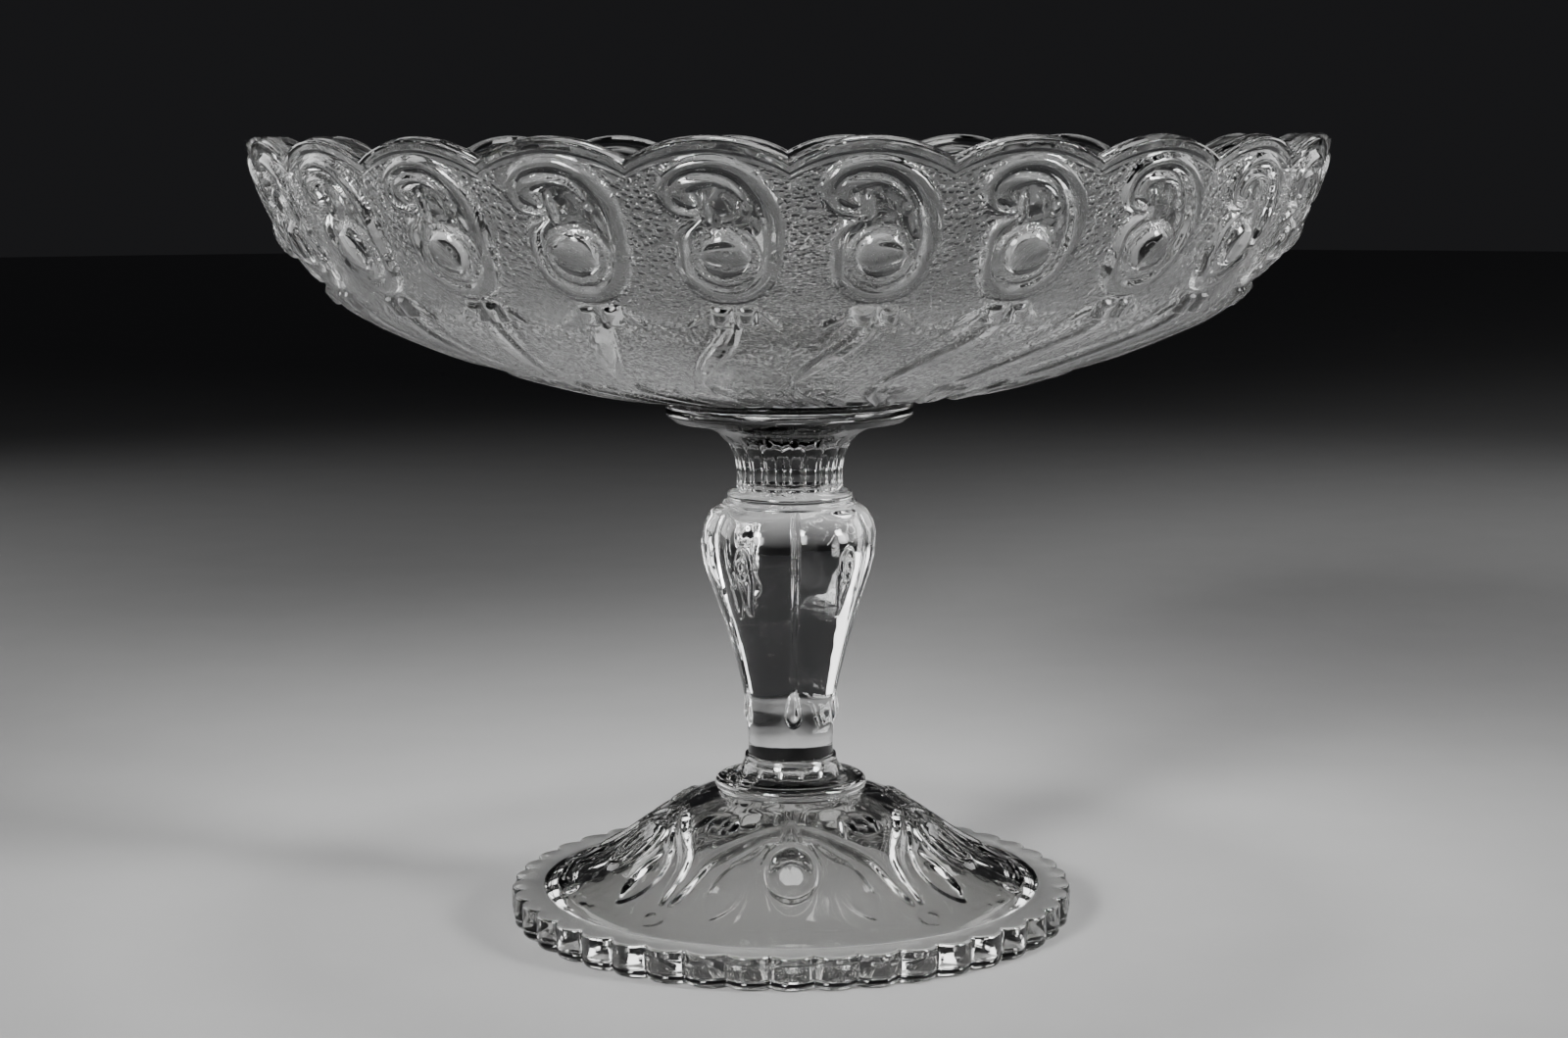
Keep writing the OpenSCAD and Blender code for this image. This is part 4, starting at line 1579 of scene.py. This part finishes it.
    def _curl(self) -> Stroke:
        """Curl high on the dome: a cord whose oval turn shrinks to its eye, with a trailing end.

        Returns:
            The cord as a stroke.
        """
        a = np.radians(np.linspace(*self.curl_turn, self.curl_points))
        size = np.linspace(*self.curl_shrinks, self.curl_points)
        wide, tall = self.curl_half
        turn = np.stack([
            wide * size * np.cos(a),
            self.curl_at + tall * size * np.sin(a),
            np.full_like(a, self.curl_width),
        ], axis=1)
        across, down, width = self.curl_tail
        tail = (across, self.curl_at + down, width)
        return Stroke((tail, *map(tuple, turn.tolist())), self.curl_rise)

    def _hollow(self) -> Array:
        """Outline of the hollow from the foot's lower edge to its pole.

        Returns:
            Points (r, z).
        """
        bends = [respaced(bent(*bend, 40), rows) for *bend, rows in self.hollow_bends]
        return np.vstack([self.hollow_edge, *bends, (self.hollow_top, (POLE_R, self.hollow_z))])

    def _neck_marks(self, turn: Array, s: Array) -> Array:
        """Small dimples round the foot's neck.

        Args:
            turn: angle of each column.
            s: drawn length at each ring.

        Returns:
            Their depth, as a height under 0.
        """
        at, radius, depth = self.dimple
        off = degrees_long(aside(turn, 360.0 / self.dimples) * radius)
        far = np.hypot(off[None, :], s[:, None] - at)
        return -depth * (1 - eased(far, *self.dimple_blend))

    def _border(self, turn: Array) -> tuple[Array, Array]:
        """The border's flat top, its fluted side, the seam line and the rounded lower edge.

        A flute's edge is the arc c cos(a) + sqrt(f^2 - c^2 sin^2(a)) of its circle of radius f
        round the distance c.

        Args:
            turn: angle of each column.

        Returns:
            Radius and height of each point.
        """
        pitch = 360.0 / self.flutes
        off = np.radians(aside(turn, pitch, pitch / 2))
        c = self.foot_r - self.flute_r
        edge = c * np.cos(off) + np.sqrt(self.flute_r**2 - (c * np.sin(off)) ** 2)
        z = self.border_z
        steps = np.array([
            (0.9, z), (0.42, z - 0.08), (0.14, z - 0.34), (0.02, z - 0.8), (0.0, z - 1.6),
            (0.0, 4.6), (0.0, 2.9), (0.04, 2.55), (0.34, 2.3), (0.36, 2.05), (0.14, 1.75),
            (0.3, 1.1), (0.75, 0.5), (1.4, 0.12), (2.1, 0.0),
        ])
        radius = edge[None, :] - steps[:, :1]
        height = np.broadcast_to(steps[:, 1:2], radius.shape)
        flat = np.array([(self.dome_r + 0.5, z - 0.12), (self.dome_r + 1.0, z), (self.flat_to, z)])
        flat_r = np.broadcast_to(flat[:, :1], (3, turn.size))
        flat_z = np.broadcast_to(flat[:, 1:2], (3, turn.size))
        return np.vstack([flat_r, radius]), np.vstack([flat_z, height])

    def build(self, fused: Material) -> None:
        """Builds and dresses the foot.

        Args:
            fused: finish of the faces that are fused to a neighbour.
        """
        columns = self.flutes * self.per_flute
        turn = 360.0 * np.arange(columns) / columns
        line, s = self._outline()
        lift = self._relief(turn, line, s) * eased(s[:, None], *self.relief_from)
        lift = lift + self._neck_marks(turn, s)
        slope = np.gradient(line, axis=0)
        size = np.hypot(slope[:, 0], slope[:, 1])[:, None]
        dome_r = line[:, :1] - slope[:, 1:2] / size * lift
        dome_z = line[:, 1:2] + slope[:, :1] / size * lift
        dome_z[0] = self.top_z
        border_r, border_z = self._border(turn)
        inner = self._hollow()
        top = np.array([[POLE_R], [self.stem_r]]) + 0.0 * turn
        outer_r = np.vstack([top, dome_r, border_r])
        outer_z = np.vstack([np.full_like(top, self.top_z), dome_z, border_z])
        inner_r = np.broadcast_to(inner[:, :1], (len(inner), columns))
        inner_z = np.broadcast_to(inner[:, 1:2], (len(inner), columns))
        radius = np.vstack([inner_r[::-1], outer_r[::-1]])
        height = np.vstack([inner_z[::-1], outer_z[::-1]])
        level = np.abs(height - self.border_z) < self.worn_within
        flat = level & (radius > self.dome_r + self.worn_from)
        skin = Skin(
            "domed_foot", radius, height, (self.hollow_z, self.top_z), self.worn * flat,
            fused_rows=(0, 2),
        )
        glass = PressedGlass(
            "foot_pressed_glass", tint=(0.93, 0.93, 0.915), polish=0.02, ground_polish=0.4,
            wave_depth=0.00022, grain_depth=0.00005, haze=0.22,
        ).material()
        dress(skin.build(glass, fused), "foot")


# Studio


@dataclass(frozen=True)
class Softbox:
    """One soft light, at an angle from the front, a distance from the axis and a height.

    It faces the axis at the height aim. Lengths are in metres, angles in degrees, power in watts.
    """

    name: str
    turn: float
    away: float
    up: float
    width: float
    height: float
    power: float
    spread: float = 30.0
    aim: float = 0.1


@dataclass
class Studio:
    """Pale floor, soft lights all round and the camera at the photograph's viewing angle.

    distance, camera_z and aside place the camera, lens_px is its focal length in pixels of a frame
    frame_px wide, and clip is in metres.
    """

    floor_r: float = 4000.0
    floor_points: int = 96
    room: tuple[float, float, float, float] = (0.012, 0.012, 0.013, 1.0)
    distance: float = 664.2
    camera_z: float = 187.2
    aside: float = -1.05
    pitch: float = 7.79
    roll: float = 0.21
    lens_px: float = 2859.9
    frame_px: float = 1600.0
    sensor: float = 36.0
    clip: Point = (0.01, 50.0)
    softboxes: tuple[Softbox, ...] = (
        Softbox("key_left", -34.0, 0.95, 0.5, 0.28, 0.24, 0.56),
        Softbox("key_right", 66.0, 0.95, 0.46, 0.24, 0.24, 0.46),
        Softbox("fill_left", -30.0, 0.9, 0.24, 0.4, 0.38, 0.38),
        Softbox("fill_right", 72.0, 0.9, 0.24, 0.34, 0.38, 0.32),
        Softbox("panel_left", -115.0, 1.15, 0.4, 1.0, 0.56, 2.8, spread=115.0, aim=0.3),
        Softbox("panel_right", 115.0, 1.15, 0.4, 1.0, 0.56, 2.8, spread=115.0, aim=0.3),
        Softbox("overhead", 0.0, 0.02, 1.3, 0.25, 0.25, 0.4, spread=40.0),
    )

    def floor(self) -> None:
        """Round flat floor."""
        a = np.linspace(0.0, 2 * math.pi, self.floor_points, endpoint=False)
        ring = np.stack([np.cos(a), np.sin(a), 0.0 * a], axis=1) * self.floor_r * MM
        mesh = bpy.data.meshes.new("floor")
        mesh.from_pydata(ring.tolist(), [], [list(range(self.floor_points))])
        mesh.materials.append(PaleFloor().material())
        placed("floor", mesh)

    @staticmethod
    def lamp(light: Softbox) -> None:
        """Hangs a soft rectangular light that faces the middle of the object.

        Args:
            light: the light's sizes and place.
        """
        area = bpy.data.lights.new(light.name, "AREA")
        area.shape = "RECTANGLE"
        area.size, area.size_y = light.width, light.height
        area.energy = light.power
        area.spread = math.radians(light.spread)
        lamp = placed(light.name, area)
        turn = math.radians(light.turn)
        spot = np.array([light.away * math.sin(turn), -light.away * math.cos(turn), light.up])
        aim = np.array([0.0, 0.0, light.aim]) - spot
        lamp.location = spot
        lamp.rotation_euler = (
            math.acos(-aim[2] / np.linalg.norm(aim)), 0.0, math.atan2(aim[1], aim[0]) - math.pi / 2
        )
        lamp.visible_camera = False

    def lights(self) -> None:
        """Hangs the softboxes and sets a dim even room."""
        for light in self.softboxes:
            self.lamp(light)
        world = bpy.data.worlds.new("room")
        bpy.context.scene.world = world
        world.use_nodes = True
        fed(world.node_tree, world.node_tree.nodes["Background"], Color=self.room, Strength=1.0)

    def camera(self) -> None:
        """Camera as fitted to the photograph, near the rim's height, with its pitch and roll."""
        lens = bpy.data.cameras.new("camera")
        lens.sensor_fit = "HORIZONTAL"
        lens.sensor_width = self.sensor
        lens.lens = self.lens_px / self.frame_px * self.sensor
        lens.clip_start, lens.clip_end = self.clip
        camera = placed("camera", lens)
        camera.location = (self.aside * MM, -self.distance * MM, self.camera_z * MM)
        camera.rotation_mode = "XYZ"
        camera.rotation_euler = (math.radians(90.0 - self.pitch), math.radians(self.roll), 0.0)
        bpy.context.scene.camera = camera

    def build(self) -> None:
        """Sets up the camera, the floor and the lights."""
        self.camera()
        self.floor()
        self.lights()


def main() -> None:
    """Builds the studio and the pieces, from the foot up."""
    logging.basicConfig(level=logging.INFO, format="%(message)s")
    Studio().build()
    fused = FusedFace().material()
    Foot().build(fused)
    Stem().build(fused)
    Wafer().build(fused)
    Bowl().build(fused)


if __name__ == "__main__":
    main()
